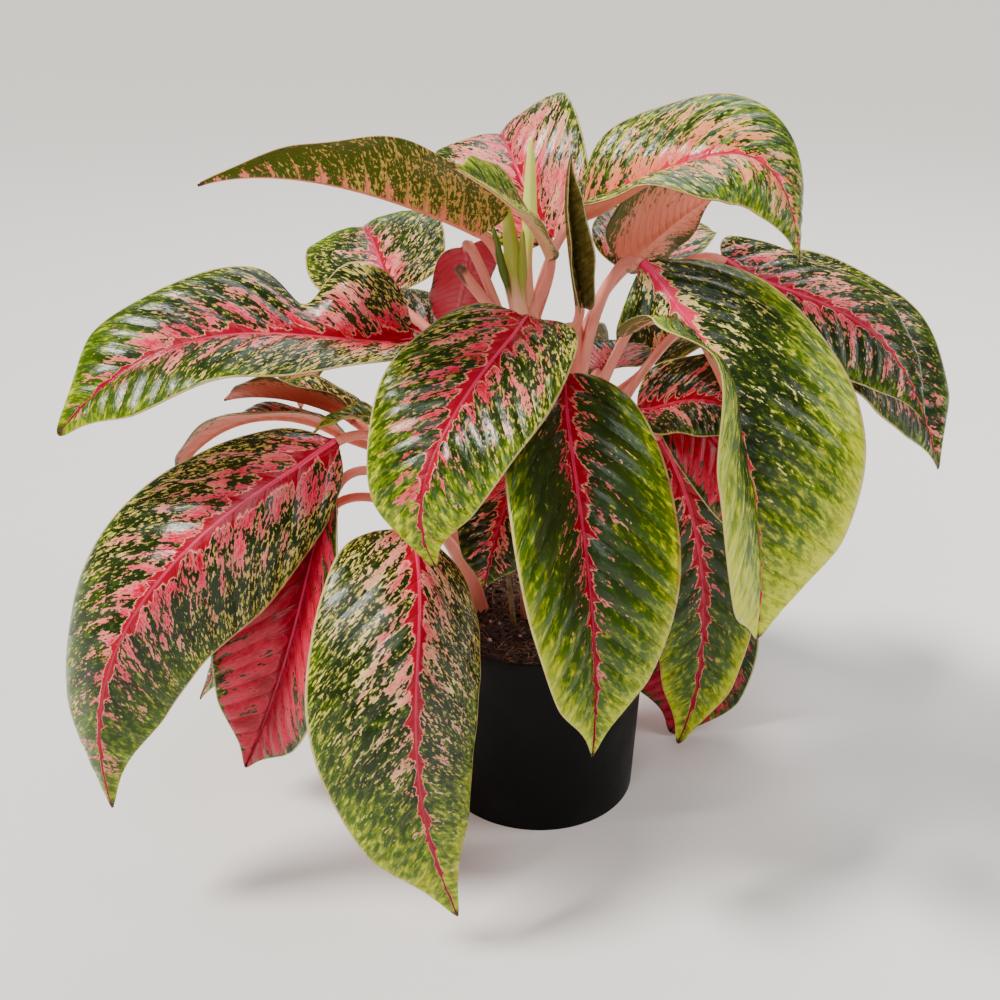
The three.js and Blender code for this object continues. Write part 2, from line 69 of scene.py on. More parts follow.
# Its sheath, full up to one share of its length and gone at another: a groove between two wings,
# with their heights as shares of its radius and their places as turns in radians.
SHEATH = dict(full=0.3, end=0.55, groove=0.3, groove_width=0.35, wing=0.14, wing_turn=0.62,
              wing_width=0.16)

# A blade: the least half width beside its midrib, its cells and how they crowd, and its thickness
# above and below the middle surface.
BLADE = dict(rib=2.1, rib_tip=0.6, columns=44, rows=108, crowding=0.09, crowding_out=1.25, above=0.2,
             below=0.35)
DRIP = dict(slimming=0.5, start=0.78, end=0.97)
WAVE = dict(end=0.87, lag=1.7)
LOBE = dict(power=1.5, end=0.4)
NOTCH_SPREAD = 0.06
# The side veins slant and bend forwards. Between them the skin puffs up, less on a narrow leaf, and
# the relief starts off the midrib and ends before the rim.
VEINS = dict(panels=13, slant=0.75, bend=0.006, stagger=0.2, puff=0.7, full_width=80, start=(2, 8),
             rim=0.8)
# The groove over the midrib, how the round petiole runs out into the blade above and below, and
# how far off the midrib the skin takes on the slope of its half.
RIB = dict(groove=0.6, wide=2.6, narrow=0.5, start=(0.03, 0.14), crown=0.12, keel=0.6, level=2)
# Slow swells in the skin: their height, their length across and along, and where they start.
SWELLS = dict(height=1.2, across=22, along=30, start=(4, 20), leaf_apart=9)
# The vein map is in centimetres. Each leaf and each of its halves has its own stretch of the noise.
VEIN_MAP = dict(centimetre=10, leaf_apart=97, spread=1.2, half_apart=200, start=300)

DEFAULTS = dict(base=0.52, fall=0.8, lobe=0.12, curl=-25, wave=2, waves=2.2, face=(0, 0, 1), twist=0,
                folds=None, notch=None, quilt=1.4, left=(10, 0), right=(10, 0))

# The canes: foot, bend, top and the radius at each end.
CANES = dict(
    main=((-2, -6, MIX["top"]), (-6, -5, 190), (-10, -4, 272), (7.5, 5.5)),
    right=((22, 0, MIX["top"]), (18, -8, 190), (14, -9, 274), (7, 5)),
    left=((-27, 8, MIX["top"]), (-44, 0, 150), (-58, -6, 196), (6.5, 4.5)),
    back=((6, 32, MIX["top"]), (10, 44, 165), (12, 52, 225), (6.5, 4.5)),
)

# The leaves. Joint, near, far and tip are points on the midrib, and face is the way the upper side
# looks at the joint. Left and right are how far each half lifts, at the base and at the tip.
LEAVES = []


def leaf(name, cane, rise, look, joint, near, far, tip, width, **more):
    """One leaf: the cane it leaves and at what height, its finish, its midrib and its full width."""
    row = dict(DEFAULTS, name=name, cane=cane, rise=rise, look=look, width=width, seed=len(LEAVES))
    row.update(joint=joint, near=near, far=far, tip=tip, **more)
    LEAVES.append(row)


leaf("leaf_top_left", "main", 0.86, "olive", (-32, -10, 320), (-66, -45, 342), (-105, -80, 359),
     (-142, -105, 361), 70, left=(40, 40), right=(10, 10))
leaf("leaf_top_back", "main", 0.92, "rosy", (2, 15, 311), (-13, 45, 340), (-21, 85, 351),
     (-22, 135, 335), 80, face=(0, -0.6, 0.8), left=(10, -20), right=(38, 25))
leaf("leaf_top_right", "main", 0.96, "sunny", (19, 0, 326), (49, -18, 347), (89, -30, 360),
     (116, -40, 313), 84, base=0.55, fall=0.9, lobe=0.02, twist=-18, left=(80, 0), right=(0, -35),
     folds=((0, 5), (0.3, -5), (0.5, -30), (1, -35)))
leaf("leaf_young", "main", 0.98, "young", (2, -10, 308), (-12, -40, 335), (-28, -75, 355),
     (-41, -95, 367), 40, base=0.8, left=(-30, -20), right=(55, 50))
leaf("leaf_unfolding", "right", 0.98, "bronze", (16, -26, 290), (11, -35, 316), (8, -44, 341),
     (9, -54, 364), 32, face=(0.3, -1, 0), left=(70, 70), right=(70, 70))
leaf("leaf_right_inner", "right", 0.7, "rosy", (39, -3, 303), (51, 0, 313), (65, 6, 323),
     (84, 16, 333), 60, face=(-0.4, 0.8, 0.4), left=(20, 10), right=(20, 10))
leaf("leaf_right_back", "right", 0.9, "rosy", (43, 36, 290), (59, 64, 298), (71, 96, 301),
     (81, 126, 295), 66, face=(0, -0.4, 1), left=(20, 0), right=(20, 0))
leaf("leaf_right_front", "right", 0.78, "lime", (45, -30, 310), (72, -74, 278), (90, -102, 225),
     (99, -100, 149), 124, face=(0, -0.3, 1), base=0.62, fall=0.76, lobe=0.03, left=(0, 10),
     right=(-40, 34), folds=((0, -60), (0.11, -50), (0.27, 44), (0.38, 60), (0.55, 47), (1, 34)),
     notch=(1, 0.15, 0.45), quilt=2.6)
leaf("leaf_right_upper", "right", 0.6, "dark", (90, 10, 301), (129, 10, 285), (166, 0, 267),
     (193, -15, 225), 72, left=(30, 22), right=(-50, -50))
leaf("leaf_right_outer", "right", 0.45, "dark", (117, 45, 271), (165, 48, 251), (200, 42, 223),
     (221, 32, 179), 90, face=(0.5, -0.5, 0.8), left=(20, 10), right=(10, 0))
leaf("leaf_left_upper", "main", 0.62, "pink", (-64, -23, 270), (-112, -42, 279),
     (-166, -60, 281), (-224, -75, 242), 86, face=(0, -0.3, 1), base=0.32, fall=0.56, lobe=0,
     left=(22, -14), right=(60, 20), folds=((0, 60), (0.15, 75), (0.3, 15), (0.45, 14), (1, 20)),
     notch=(1, 0.28, 0.5))
leaf("leaf_left_back", "main", 0.7, "mottled", (-78, 25, 281), (-88, 62, 292), (-97, 100, 297),
     (-106, 140, 285), 78, face=(0, -0.4, 1), left=(-10, -10), right=(15, 10))
leaf("leaf_left_inner", "main", 0.8, "crimson", (-38, 5, 309), (-39, 18, 293), (-43, 36, 272),
     (-48, 58, 250), 36, face=(-0.3, 0.7, 0.6), left=(10, 10), right=(10, 10))
leaf("leaf_front_upper", "main", 0.74, "vivid", (-9, -40, 286), (-34, -85, 269),
     (-54, -112, 236), (-50, -114, 194), 78, face=(0, -0.5, 1), left=(10, 0), right=(5, -5))
leaf("leaf_front_middle", "right", 0.4, "veined", (8, -50, 262), (13, -95, 223), (20, -118, 170),
     (22, -118, 95), 87, face=(0, -0.5, 1), base=0.6, fall=0.88, lobe=0.06, left=(8, -8),
     right=(34, 44), quilt=2.9)
leaf("leaf_front_lower", "left", 0.3, "mottled", (-63, -80, 196), (-58, -125, 163),
     (-59, -142, 105), (-42, -142, 19), 100, face=(0, -0.6, 1), left=(-58, -55), right=(0, 0))
leaf("leaf_left_lower", "left", 0.9, "pink", (-100, -55, 230), (-146, -85, 208),
     (-196, -108, 156), (-212, -112, 60), 92, face=(-0.3, -0.6, 0.8), fall=0.75, lobe=0,
     left=(-45, -75), right=(5, 0))
leaf("leaf_left_red", "left", 0.7, "crimson", (-102, -45, 202), (-114, -64, 171), (-126, -80, 129),
     (-152, -82, 62), 84, face=(0, -0.8, 0.5), lobe=0, left=(74, 30), right=(12, 0))
leaf("leaf_left_shelf", "left", 0.96, "dark", (-105, -10, 217), (-134, -11, 226), (-165, -10, 218),
     (-192, -8, 190), 56, left=(30, 20), right=(-5, -5))
leaf("leaf_left_low_back", "left", 0.5, "dark", (-107, -20, 181), (-135, -20, 149),
     (-162, -22, 108), (-187, -25, 66), 64, face=(-0.5, -0.4, 1), left=(10, 0), right=(10, 0))
leaf("leaf_left_small", "left", 1, "young", (-70, -38, 232), (-84, -40, 237), (-98, -42, 238),
     (-112, -44, 231), 22, left=(10, 10), right=(10, 10))
leaf("leaf_left_folded", "left", 0.8, "mottled", (-98, 0, 220), (-117, 5, 227), (-142, 10, 230),
     (-167, 15, 226), 60, left=(45, 40), right=(0, 0))
leaf("leaf_right_short", "right", 0.35, "dark", (49, -5, 226), (70, -14, 236), (88, -24, 238),
     (107, -34, 226), 54, face=(0, -0.5, 1), lobe=0.03, left=(20, 0), right=(20, 0))
leaf("leaf_right_red", "right", 0.28, "crimson", (69, 0, 229), (88, -15, 215), (107, -25, 189),
     (121, -30, 154), 52, face=(0, -0.8, 0.5), left=(20, 0), right=(20, 0))
leaf("leaf_right_hanging", "right", 0.2, "veined", (64, 20, 201), (85, 10, 152), (92, 0, 88),
     (81, -5, 22), 56, face=(0, -1, 0.4), fall=0.6, left=(10, 0), right=(10, 0))
leaf("leaf_right_low_back", "back", 0.25, "crimson", (84, 62, 118), (92, 54, 72), (93, 44, 30),
     (82, 34, 3), 84, face=(0, -1, 0.4), fall=0.55, left=(5, 0), right=(5, 0))
leaf("leaf_front_inner", "main", 0.4, "dark", (-9, -14, 202), (-19, -32, 186), (-26, -42, 165),
     (-30, -44, 145), 46, face=(0, -0.6, 0.5), left=(10, 0), right=(10, 0))
leaf("leaf_back_inner", "right", 0.5, "rosy", (30, 24, 238), (38, 44, 237), (45, 60, 240),
     (53, 76, 237), 46, left=(20, 0), right=(20, 0))
leaf("leaf_back_left", "back", 0.8, "mottled", (-58, 74, 236), (-96, 106, 244), (-130, 136, 220),
     (-150, 154, 168), 84, left=(20, 5), right=(15, 5))
leaf("leaf_back", "back", 0.9, "veined", (0, 84, 226), (2, 124, 224), (6, 154, 186),
     (10, 166, 120), 86, left=(15, 5), right=(20, 5))
leaf("leaf_back_right", "back", 0.7, "lime", (64, 76, 226), (96, 104, 242), (125, 126, 222),
     (142, 140, 165), 84, left=(15, 5), right=(20, 5))
leaf("leaf_back_low_left", "back", 0.5, "mottled", (-20, 75, 180), (-32, 112, 165),
     (-40, 140, 118), (-46, 150, 60), 80, left=(15, 5), right=(10, 5))
leaf("leaf_back_low_right", "back", 0.4, "dark", (48, 82, 185), (72, 118, 170), (90, 142, 120),
     (98, 150, 60), 78, left=(15, 5), right=(10, 5))

# What is left of a petiole that was cut off: its line from the cane to its dry cut end.
CUT_PETIOLE = dict(line=((-10, -4, 262), (-20, -9, 274), (-42, -12, 304)), radius=2.8, oval=0.1,
                   dry_end=4, steps=20, sides=20)

# The dry stalk of an old leaf, curled at its end.
DRY_STALK = dict(line=((-14, -16, 103), (-15, -17, 125), (-19, -18, 146), (-19, -24, 153), (-15, -26, 147)),
                 radius=1.7, taper=0.5, ribs=0.15, steps=30, sides=14)

# The spears: foot, middle, tip and radius of each rolled young leaf, and how young it is.
SPEARS = (
    ((-10, -4, 266), (-7, 0, 312), (-7, 8, 362), 4.2, 1.0),
    ((-10, -4, 266), (-16, -8, 308), (-19, -12, 336), 4.8, 0.5),
    ((-10, -4, 266), (-20, -4, 296), (-25, -6, 322), 2.6, 0.0),
    ((-10, -4, 266), (-11, -8, 296), (-11, -12, 322), 2.6, 0.4),
)
# Their sheath narrows to a neck, and the blade above it swells. Across, each is a pointed oval.
SPEAR = dict(foot=0.78, neck=0.36, swell=0.58, shares=(0.15, 0.42, 0.64), wide=1.35, thick=0.8,
             power=1.5, tip=0.25, steps=44, sides=32)

# The photograph's eye point, how far it looks down, and its lens.
CAMERA = dict(place=(-21.8, -620, 460), down=24.7, lens=46.15, sensor=36)


def smooth(x, low, high):
    t = np.clip((np.asarray(x, float) - low) / (high - low), 0, 1)
    return t * t * (3 - 2 * t)


def unit(v):
    return v / max(float(np.linalg.norm(v)), 1e-12)


def lerp(a, b, t):
    return a + (b - a) * t


# Curves

CURVE_POINTS = 161


def through(points, t):
    """Points of the cubic that passes through four points at even steps."""
    p0, p1, p2, p3 = [np.array(p, float) for p in points]
    return bezier((p0, (-5 * p0 + 18 * p1 - 9 * p2 + 2 * p3) / 6,
                   (2 * p0 - 9 * p1 + 18 * p2 - 5 * p3) / 6, p3), t)


def bezier(controls, t):
    """Points of a Bezier curve of any degree."""
    points = [np.array(p, float)[None, :] for p in controls]
    t = np.asarray(t, float)[:, None]
    while len(points) > 1:
        points = [a * (1 - t) + b * t for a, b in zip(points, points[1:])]
    return points[0]


def measured(curve):
    """Points along a curve, and how far along it each of them lies."""
    line = curve(np.linspace(0, 1, CURVE_POINTS))
    steps = np.linalg.norm(np.diff(line, axis=0), axis=1)
    return line, np.concatenate([[0], np.cumsum(steps)])


def frames_along(curve, shares, face):
    """Centres, tangents, normals and sides at shares of a curve's length, and that length."""
    line, reach = measured(curve)
    spots = np.asarray(shares) * reach[-1]
    centres = np.stack([np.interp(spots, reach, line[:, k]) for k in range(3)], 1)
    slopes = np.gradient(line, axis=0)
    tangents = np.stack([np.interp(spots, reach, slopes[:, k]) for k in range(3)], 1)
    tangents /= np.linalg.norm(tangents, axis=1)[:, None]
    normals = []
    normal = np.array(face, float)
    for tangent in tangents:
        normal = unit(normal - normal.dot(tangent) * tangent)
        normals.append(normal)
    normals = np.array(normals)
    return centres, tangents, normals, np.cross(tangents, normals), reach[-1]


# Making and finishing pieces


def start_fresh():
    if bpy.context.object and bpy.context.object.mode != "OBJECT":
        bpy.ops.object.mode_set(mode="OBJECT")
    bpy.ops.object.select_all(action="DESELECT")


def named(name):
    """The object at hand, given a plain name."""
    piece = bpy.context.object
    piece.name = name
    piece.data.name = name
    return piece


def coordinates(piece):
    place = np.empty(len(piece.data.vertices) * 3)
    piece.data.vertices.foreach_get("co", place)
    return place.reshape(-1, 3)


def set_coordinates(piece, place):
    piece.data.vertices.foreach_set("co", np.asarray(place, float).ravel())
    piece.data.update()


def apply_all(piece):
    start_fresh()
    piece.select_set(True)
    bpy.context.view_layer.objects.active = piece
    for modifier in list(piece.modifiers):
        bpy.ops.object.modifier_apply(modifier=modifier.name)


def settle(piece, nodes=(), smooth_faces=True):
    """Puts a finished piece into the frame: its place in its mesh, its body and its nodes."""
    start_fresh()
    piece.select_set(True)
    bpy.context.view_layer.objects.active = piece
    bpy.ops.object.transform_apply(location=True, rotation=True, scale=True)
    if smooth_faces:
        bpy.ops.object.shade_smooth()
    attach(piece, "root")
    if nodes:
        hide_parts(*nodes)


def paint_uv(piece, name, values):
    """A UV map of the given name from one pair of values for each vertex."""
    corners = np.empty(len(piece.data.loops), int)
    piece.data.loops.foreach_get("vertex_index", corners)
    layer = piece.data.uv_layers.new(name=name)
    layer.data.foreach_set("uv", np.asarray(values, float)[corners].ravel())


def mark(piece, name, values):
    """A number for each vertex that a material reads by name."""
    field = piece.data.attributes.new(name, "FLOAT", "POINT")
    field.data.foreach_set("value", np.asarray(values, float))


# Materials


def linear(code):
    """An sRGB hex colour as linear RGBA."""
    channels = [int(code[i:i + 2], 16) / 255 for i in (1, 3, 5)]
    return tuple(c / 12.92 if c <= 0.04045 else ((c + 0.055) / 1.055) ** 2.4 for c in channels) + (1.0,)


def feed(made, inputs):
    """Sets or links the inputs of a node, in order or by key. A colour may be hex."""
    for key, value in (inputs.items() if isinstance(inputs, dict) else enumerate(inputs)):
        if isinstance(value, bpy.types.NodeSocket):
            made.id_data.links.new(value, made.inputs[key])
        else:
            made.inputs[key].default_value = linear(value) if isinstance(value, str) else value


def node(tree, kind, inputs=(), out=0, ramp=(), **settings):
    """Adds a node with its settings, its inputs and its ramp, and gives one of its outputs."""
    made = tree.nodes.new("ShaderNode" + kind)
    for key, value in settings.items():
        setattr(made, key, value)
    feed(made, inputs)
    for i, (place, colour) in enumerate(ramp):
        stop = made.color_ramp.elements[i] if i < 2 else made.color_ramp.elements.new(place)
        stop.position = place
        stop.color = linear(colour)
    return made.outputs[out]


def new_material(name):
    """A named material, what adds nodes to it, and its bare shader."""
    material = bpy.data.materials.new(name)
    material.use_nodes = True
    tree = material.node_tree
    return material, functools.partial(node, tree), tree.nodes["Principled BSDF"]


# Noise on a blade: grains per centimetre across and along the side veins, octaves and roughness.
GRAINS = dict(
    blotch=(1.5, 0.62, 7.0, 0.66),
    speck=(6.2, 3.2, 4.0, 0.62),
    flame=(1.0, 0.25, 5.0, 0.6),
    mottle=(3.0, 2.0, 3.0, 0.52),
    drift=(0.5, 0.35, 2.0, 0.5),
    tone=(0.9, 0.4, 3.0, 0.5),
    net=(9.0, 3.0, 3.0, 0.5),
)
# Nearly all of a noise's values lie between these.
NOISE_LOW, NOISE_HIGH = 0.28, 0.72


def leaf_skin(name, look):
    """Aroid leaf skin: waxy and glossy, with a variegation that follows the side veins.

    It gives the eye dark green panels broken up by blotches that are cream outside, then salmon,
    pink and crimson inside, a pink midrib with crimson feathering, and lime islands towards the rim
    and the tip. The underside is dull salmon with olive flecks.
    """
    material, add, shader = new_material(name)
    share = add("UVMap", uv_map="share")
    flat = add("UVMap", uv_map="flat")
    vein = add("UVMap", uv_map="vein")
    under = add("Attribute", out="Fac", attribute_name="under")
    along = add("SeparateXYZ", (share,), out=1)
    panel = add("SeparateXYZ", (flat,), out=1)
    across = add("Math", (add("SeparateXYZ", (share,)),), operation="ABSOLUTE")
    off_rib = add("Math", (add("SeparateXYZ", (flat,)),), operation="ABSOLUTE")

    # Where a place lies: by the rim, in the hem, towards the tip and near the midrib, each from 0 to
    # 1, and how far apart from the midrib it is, in reaches of the feathering.
    reach = add("MapRange", (along, 0.0, 1.0, look["red_reach"], 0.04))
    field = dict(
        rim=add("Math", (across, 2.5), operation="POWER"),
        hem=add("Math", (across, 12.0), operation="POWER"),
        tip=add("Math", (along, 2.4), operation="POWER"),
        near=add("MapRange", (off_rib, 0.2, look["salmon_reach"], 1.0, 0.0)),
        apart=add("Math", (off_rib, reach), operation="DIVIDE"),
    )
    # The noises, each from a place of its own.
    for number, (key, (fine, coarse, detail, rough)) in enumerate(GRAINS.items()):
        place = add("VectorMath", (vein, (fine, coarse, 1), (31 * number, 17 * number, 0)),
                    operation="MULTIPLY_ADD")
        noisy = add("TexNoise", {"Vector": place, "Scale": 1.0, "Detail": detail, "Roughness": rough,
                                 "Distortion": 0.25})
        field[key] = add("MapRange", (noisy, NOISE_LOW, NOISE_HIGH, 0.0, 1.0), clamp=False)
    # The panels: 0 on a side vein, and 1 halfway to the next.
    swell = add("Math", (panel, math.pi), operation="MULTIPLY")
    swell = add("Math", (swell,), operation="SINE")
    swell = add("Math", (swell,), operation="ABSOLUTE")
    field["panel"] = add("Math", (swell, 0.35), operation="POWER")

    # Weighted sums of the fields, each from where it starts.
    sums = (
        ("lime", -0.38, ("drift", 0.35), ("rim", look["rim_lime"]), ("tip", look["tip_lime"])),
        ("shade", look["light"], ("mottle", look["camo"]), ("speck", 0.4), ("lime", 0.15)),
        ("blot", -look["fleck"], ("blotch", 0.52), ("drift", 0.18), ("speck", 0.3),
         ("near", look["near_fleck"]), ("lime", -0.25), ("hem", -0.3)),
        ("heat", look["warmth"], ("blot", 1.8), ("near", 0.28), ("tone", 0.4), ("lime", -0.3)),
        ("dots", 0.0, ("speck", 0.65), ("mottle", 0.1), ("blotch", 0.35), ("tip", -0.3)),
        ("feather", 0.75, ("apart", -1.0), ("flame", 1.1), ("speck", 0.25), ("panel", -0.95)),
        ("glow", 0.0, ("feather", 5.0), ("speck", 0.12)),
        ("olive", -look["olive"] - look["vein_clear"], ("rim", 0.35), ("near", -0.12), ("blotch", 0.36),
         ("speck", 0.4), ("mottle", 0.15), ("panel", look["vein_clear"])),
        ("height", 0.0, ("net", 0.1), ("panel", look["groove"])),
    )
    for key, start, *terms in sums:
        total = start
        for term, weight in terms:
            total = add("Math", (field[term], weight, total), operation="MULTIPLY_ADD")
        field[key] = total

    # Layers from the bottom up: a colour shows where its field passes a level, with a crisp edge.
    lime = field["lime"]
    skin = add("ValToRGB", (lime,), ramp=(
        (0.05, look["green"]), (1.0, look["lime_colour"]), (0.5, look["lime_deep"])))
    mid = add("ValToRGB", (lime,), ramp=(
        (0.05, look["green_light"]), (1.0, look["lime_pale"]), (0.5, look["lime_mid"])))
    high = add("ValToRGB", (lime,), ramp=((0.05, look["light_green"]), (0.6, look["lime_pale"])))
    dot = add("ValToRGB", (lime,), ramp=((0.0, look["dot"]), (0.7, look["lime_pale"])))
    blot = add("ValToRGB", (field["heat"],), ramp=look["heat"])
    band = add("ValToRGB", (field["glow"],), ramp=look["heat"])
    layers = (
        ("shade", 0.60, 0.08, mid),
        ("shade", 0.84, 0.05, high),
        ("dots", look["dots"], 0.04, dot),
        ("blot", 0.0, 0.02, blot),
        ("feather", 0.0, 0.02, band),
    )
    for key, low, width, colour in layers:
        there = add("MapRange", (field[key], low, low + width, 0.0, 1.0))
        skin = add("Mix", {0: there, 6: skin, 7: colour}, out=2, data_type="RGBA")

    # The midrib narrows to the tip, and a pale line hems the blade.
    rib_width = add("MapRange", (along, 0.0, 1.0, 0.11, 0.03))
    on_rib = add("Math", (off_rib, rib_width), operation="DIVIDE")
    on_rib = add("MapRange", (on_rib, 0.8, 1.15, 1.0, 0.0))
    rib = add("ValToRGB", (along,), ramp=((0.1, look["rib"]), (0.95, look["rib_tip"])))
    skin = add("Mix", {0: on_rib, 6: skin, 7: rib}, out=2, data_type="RGBA")
    hem = add("MapRange", (across, 0.972, 0.985, 0.0, 0.7))
    skin = add("Mix", {0: hem, 6: skin, 7: look["hem"]}, out=2, data_type="RGBA")

    # The underside: salmon by the midrib, paler outwards, with olive flecks that thicken to the rim.
    olive = add("MapRange", (field["olive"], 0.0, 0.06, 0.0, 1.0))
    olive = add("Math", (olive, on_rib), operation="SUBTRACT", use_clamp=True)
    dull = add("ValToRGB", (field["near"],), ramp=((0.1, look["under_rim"]), (0.8, look["under"])))
    dull = add("Mix", {0: olive, 6: dull, 7: look["olive_colour"]}, out=2, data_type="RGBA")
    lit = add("MapRange", (field["dots"], look["under_dots"], look["under_dots"] + 0.05, 0.0, 0.8))
    lit = add("Math", (lit, on_rib), operation="SUBTRACT", use_clamp=True)
    dull = add("Mix", {0: lit, 6: dull, 7: look["under_rim"]}, out=2, data_type="RGBA")
    skin = add("Mix", {0: under, 6: skin, 7: dull}, out=2, data_type="RGBA")

    # The very tip is dry and brown on both sides, and the underside is less glossy.
    withered = add("MapRange", (along, 0.972, 0.99, 0.0, 0.9))
    skin = add("Mix", {0: withered, 6: skin, 7: "#3c1a10"}, out=2, data_type="RGBA")
    gloss = add("MapRange", (field["mottle"], 0.0, 1.0, 0.17, 0.27))
    gloss = add("Math", (under, 0.2, gloss), operation="MULTIPLY_ADD")
    # Side veins sunk between puffed panels, and a net of veins about 1 mm apart.
    relief = add("Bump", {"Height": field["height"], "Strength": 1.0, "Distance": 0.0012})
    feed(shader, {"Base Color": skin, "Roughness": gloss, "Normal": relief, "IOR": 1.45,
                  "Specular IOR Level": 0.26, "Coat Weight": 0.1, "Coat Roughness": 0.12})
    return material


# Colours of a blotch from its edge inwards.
HEAT = ((0.02, "#ead684"), (1.0, "#a20020"), (0.14, "#e8b48a"), (0.4, "#e68474"), (0.64, "#e23c5c"),
        (0.84, "#ca0028"))
PALE_HEAT = ((0.02, "#dcd67a"), (1.0, "#d8284c"), (0.3, "#dcc27c"), (0.6, "#e89e7a"), (0.85, "#ea6e60"))
ORANGE_HEAT = ((0.02, "#e0d070"), (1.0, "#d01838"), (0.14, "#e8b070"), (0.45, "#ee8a5c"), (0.8, "#ea4a5a"))
RED_HEAT = ((0.02, "#7a2a1c"), (1.0, "#8c0820"), (0.12, "#b8304a"), (0.45, "#c01838"), (0.75, "#a40c28"))
# How a plain leaf looks, and what differs on each kind. A lower fleck gives more blotches, a lower
# dots more pale dots, and a lower olive more olive flecks on the underside.
PLAIN_LOOK = dict(
    green="#1a2806", green_light="#30440a", light_green="#8c8c30", dot="#c8b658", rim_lime=0.32,
    tip_lime=0.75, lime_deep="#3e5a04", lime_mid="#728606", lime_colour="#92a006", lime_pale="#b8be0e",
    light=0.0, camo=0.75, heat=HEAT, salmon_reach=2.4, fleck=0.58, near_fleck=0.04, warmth=-0.2,
    dots=0.6, red_reach=0.8, rib="#ee3868", rib_tip="#7a1020", hem="#dcc488", groove=0.5,
    under="#f28a6e", under_rim="#dfa47c", under_dots=0.8, olive=0.54, vein_clear=0.1,
    olive_colour="#5a5c18")
LOOKS = dict(
    mottled=dict(light=0.04, tip_lime=1.1, fleck=0.587),
    vivid=dict(red_reach=1.1, fleck=0.568, salmon_reach=3.0, tip_lime=0.95, rim_lime=0.4, warmth=0.1,
               light=0.06),
    pink=dict(salmon_reach=3.4, warmth=0.0, red_reach=0.9, fleck=0.605, tip_lime=0.8, near_fleck=0.1,
              rim_lime=0.28, light=-0.04, dots=0.585),
    lime=dict(fleck=0.65, near_fleck=0.12, heat=PALE_HEAT, dots=0.7, tip_lime=1.35, rim_lime=0.75,
              red_reach=0.6, salmon_reach=1.2, groove=0.7, lime_deep="#4a660a", lime_mid="#84960e",
              lime_colour="#a0ac08", lime_pale="#c4ca1e", light=0.02, green_light="#304408"),
    veined=dict(fleck=0.69, near_fleck=0.1, dots=0.8, tip_lime=1.05, rim_lime=0.78, red_reach=1.0,
                groove=0.8, warmth=0.0, green="#24360f", light=-0.04),
    dark=dict(tip_lime=0.4, rim_lime=0.3, salmon_reach=3.2, warmth=-0.06, dots=0.64, fleck=0.6),
    rosy=dict(fleck=0.5, salmon_reach=4.5, red_reach=0.7, warmth=-0.12, dots=0.62, olive=0.5, light=0.08),
    sunny=dict(green="#22360c", green_light="#506c14", light_green="#a0a830", dot="#d2c864",
               heat=ORANGE_HEAT, near_fleck=0.12, warmth=-0.1, dots=0.62, salmon_reach=2.6,
               red_reach=0.75, rim_lime=0.4, tip_lime=0.6, light=0.06, hem="#e8a878"),
    crimson=dict(fleck=0.54, near_fleck=0.22, red_reach=1.3, tip_lime=0.3, rim_lime=0.3,
                 salmon_reach=4.5, heat=RED_HEAT, warmth=-0.1, dots=0.74, under="#c02440",
                 under_rim="#9c1c34", under_dots=0.9, olive=0.68, olive_colour="#3c2c10"),
    olive=dict(olive=0.16, olive_colour="#3e500a", under="#f4866a", under_rim="#dcae58", under_dots=0.56,
               vein_clear=0.42, salmon_reach=1.3, hem="#ee9a78"),
    young=dict(green="#2c4a0c", green_light="#557812", light_green="#a2b43c", dot="#dade74", fleck=0.9,
               dots=0.66, tip_lime=0.8, rim_lime=0.6, red_reach=0.2, rib="#c7c27a", rib_tip="#a9b85a",
               salmon_reach=0.6, heat=PALE_HEAT, under="#eeb088", under_rim="#dcc07c", under_dots=0.7,
               light=0.1),
    bronze=dict(green="#56481f", green_light="#685826", light_green="#806c34", dot="#94803c", fleck=0.8,
                dots=0.9, tip_lime=0.3, rim_lime=0.2, red_reach=0.3, rib="#c98a6a", rib_tip="#8a6a3a",
                salmon_reach=0.8, under="#745428", under_rim="#5c4a1e", olive=0.56,
                olive_colour="#2e3010"),
)


# Blades


def outline_at(share, row):
    """Half the outline of the leaf, 1 at its widest: round base, drawn-out drip tip."""
    widest = row["base"] / (row["base"] + row["fall"])
    rise = (share / widest) ** row["base"]
    fall = (np.maximum(0, 1 - share) / (1 - widest)) ** row["fall"]
    return rise * fall * (1 - DRIP["slimming"] * smooth(share, DRIP["start"], DRIP["end"]))


def lift_at(row, hand, share):
    """How far each half lifts, in radians. Folds give the right half's lifts at shares of their own."""
    lift = np.where(hand < 0, lerp(*row["left"], share), lerp(*row["right"], share))
    if row["folds"]:
        folded = np.zeros(len(share))
        for (start, low), (end, high) in zip(row["folds"], row["folds"][1:]):
            inside = (share >= start) & (share <= end)
            folded[inside] = lerp(low, high, smooth(share[inside], start, end))
        lift = np.where(hand < 0, lift, folded)
    return np.radians(lift)


def notched_at(row, hand, share):
    """What is left of a half's width where the leaf has a notch."""
    if not row["notch"]:
        return 1.0
    side, place, depth = row["notch"]
    return 1 - np.where(hand == side, depth * np.exp(-((share - place) / NOTCH_SPREAD) ** 2), 0)


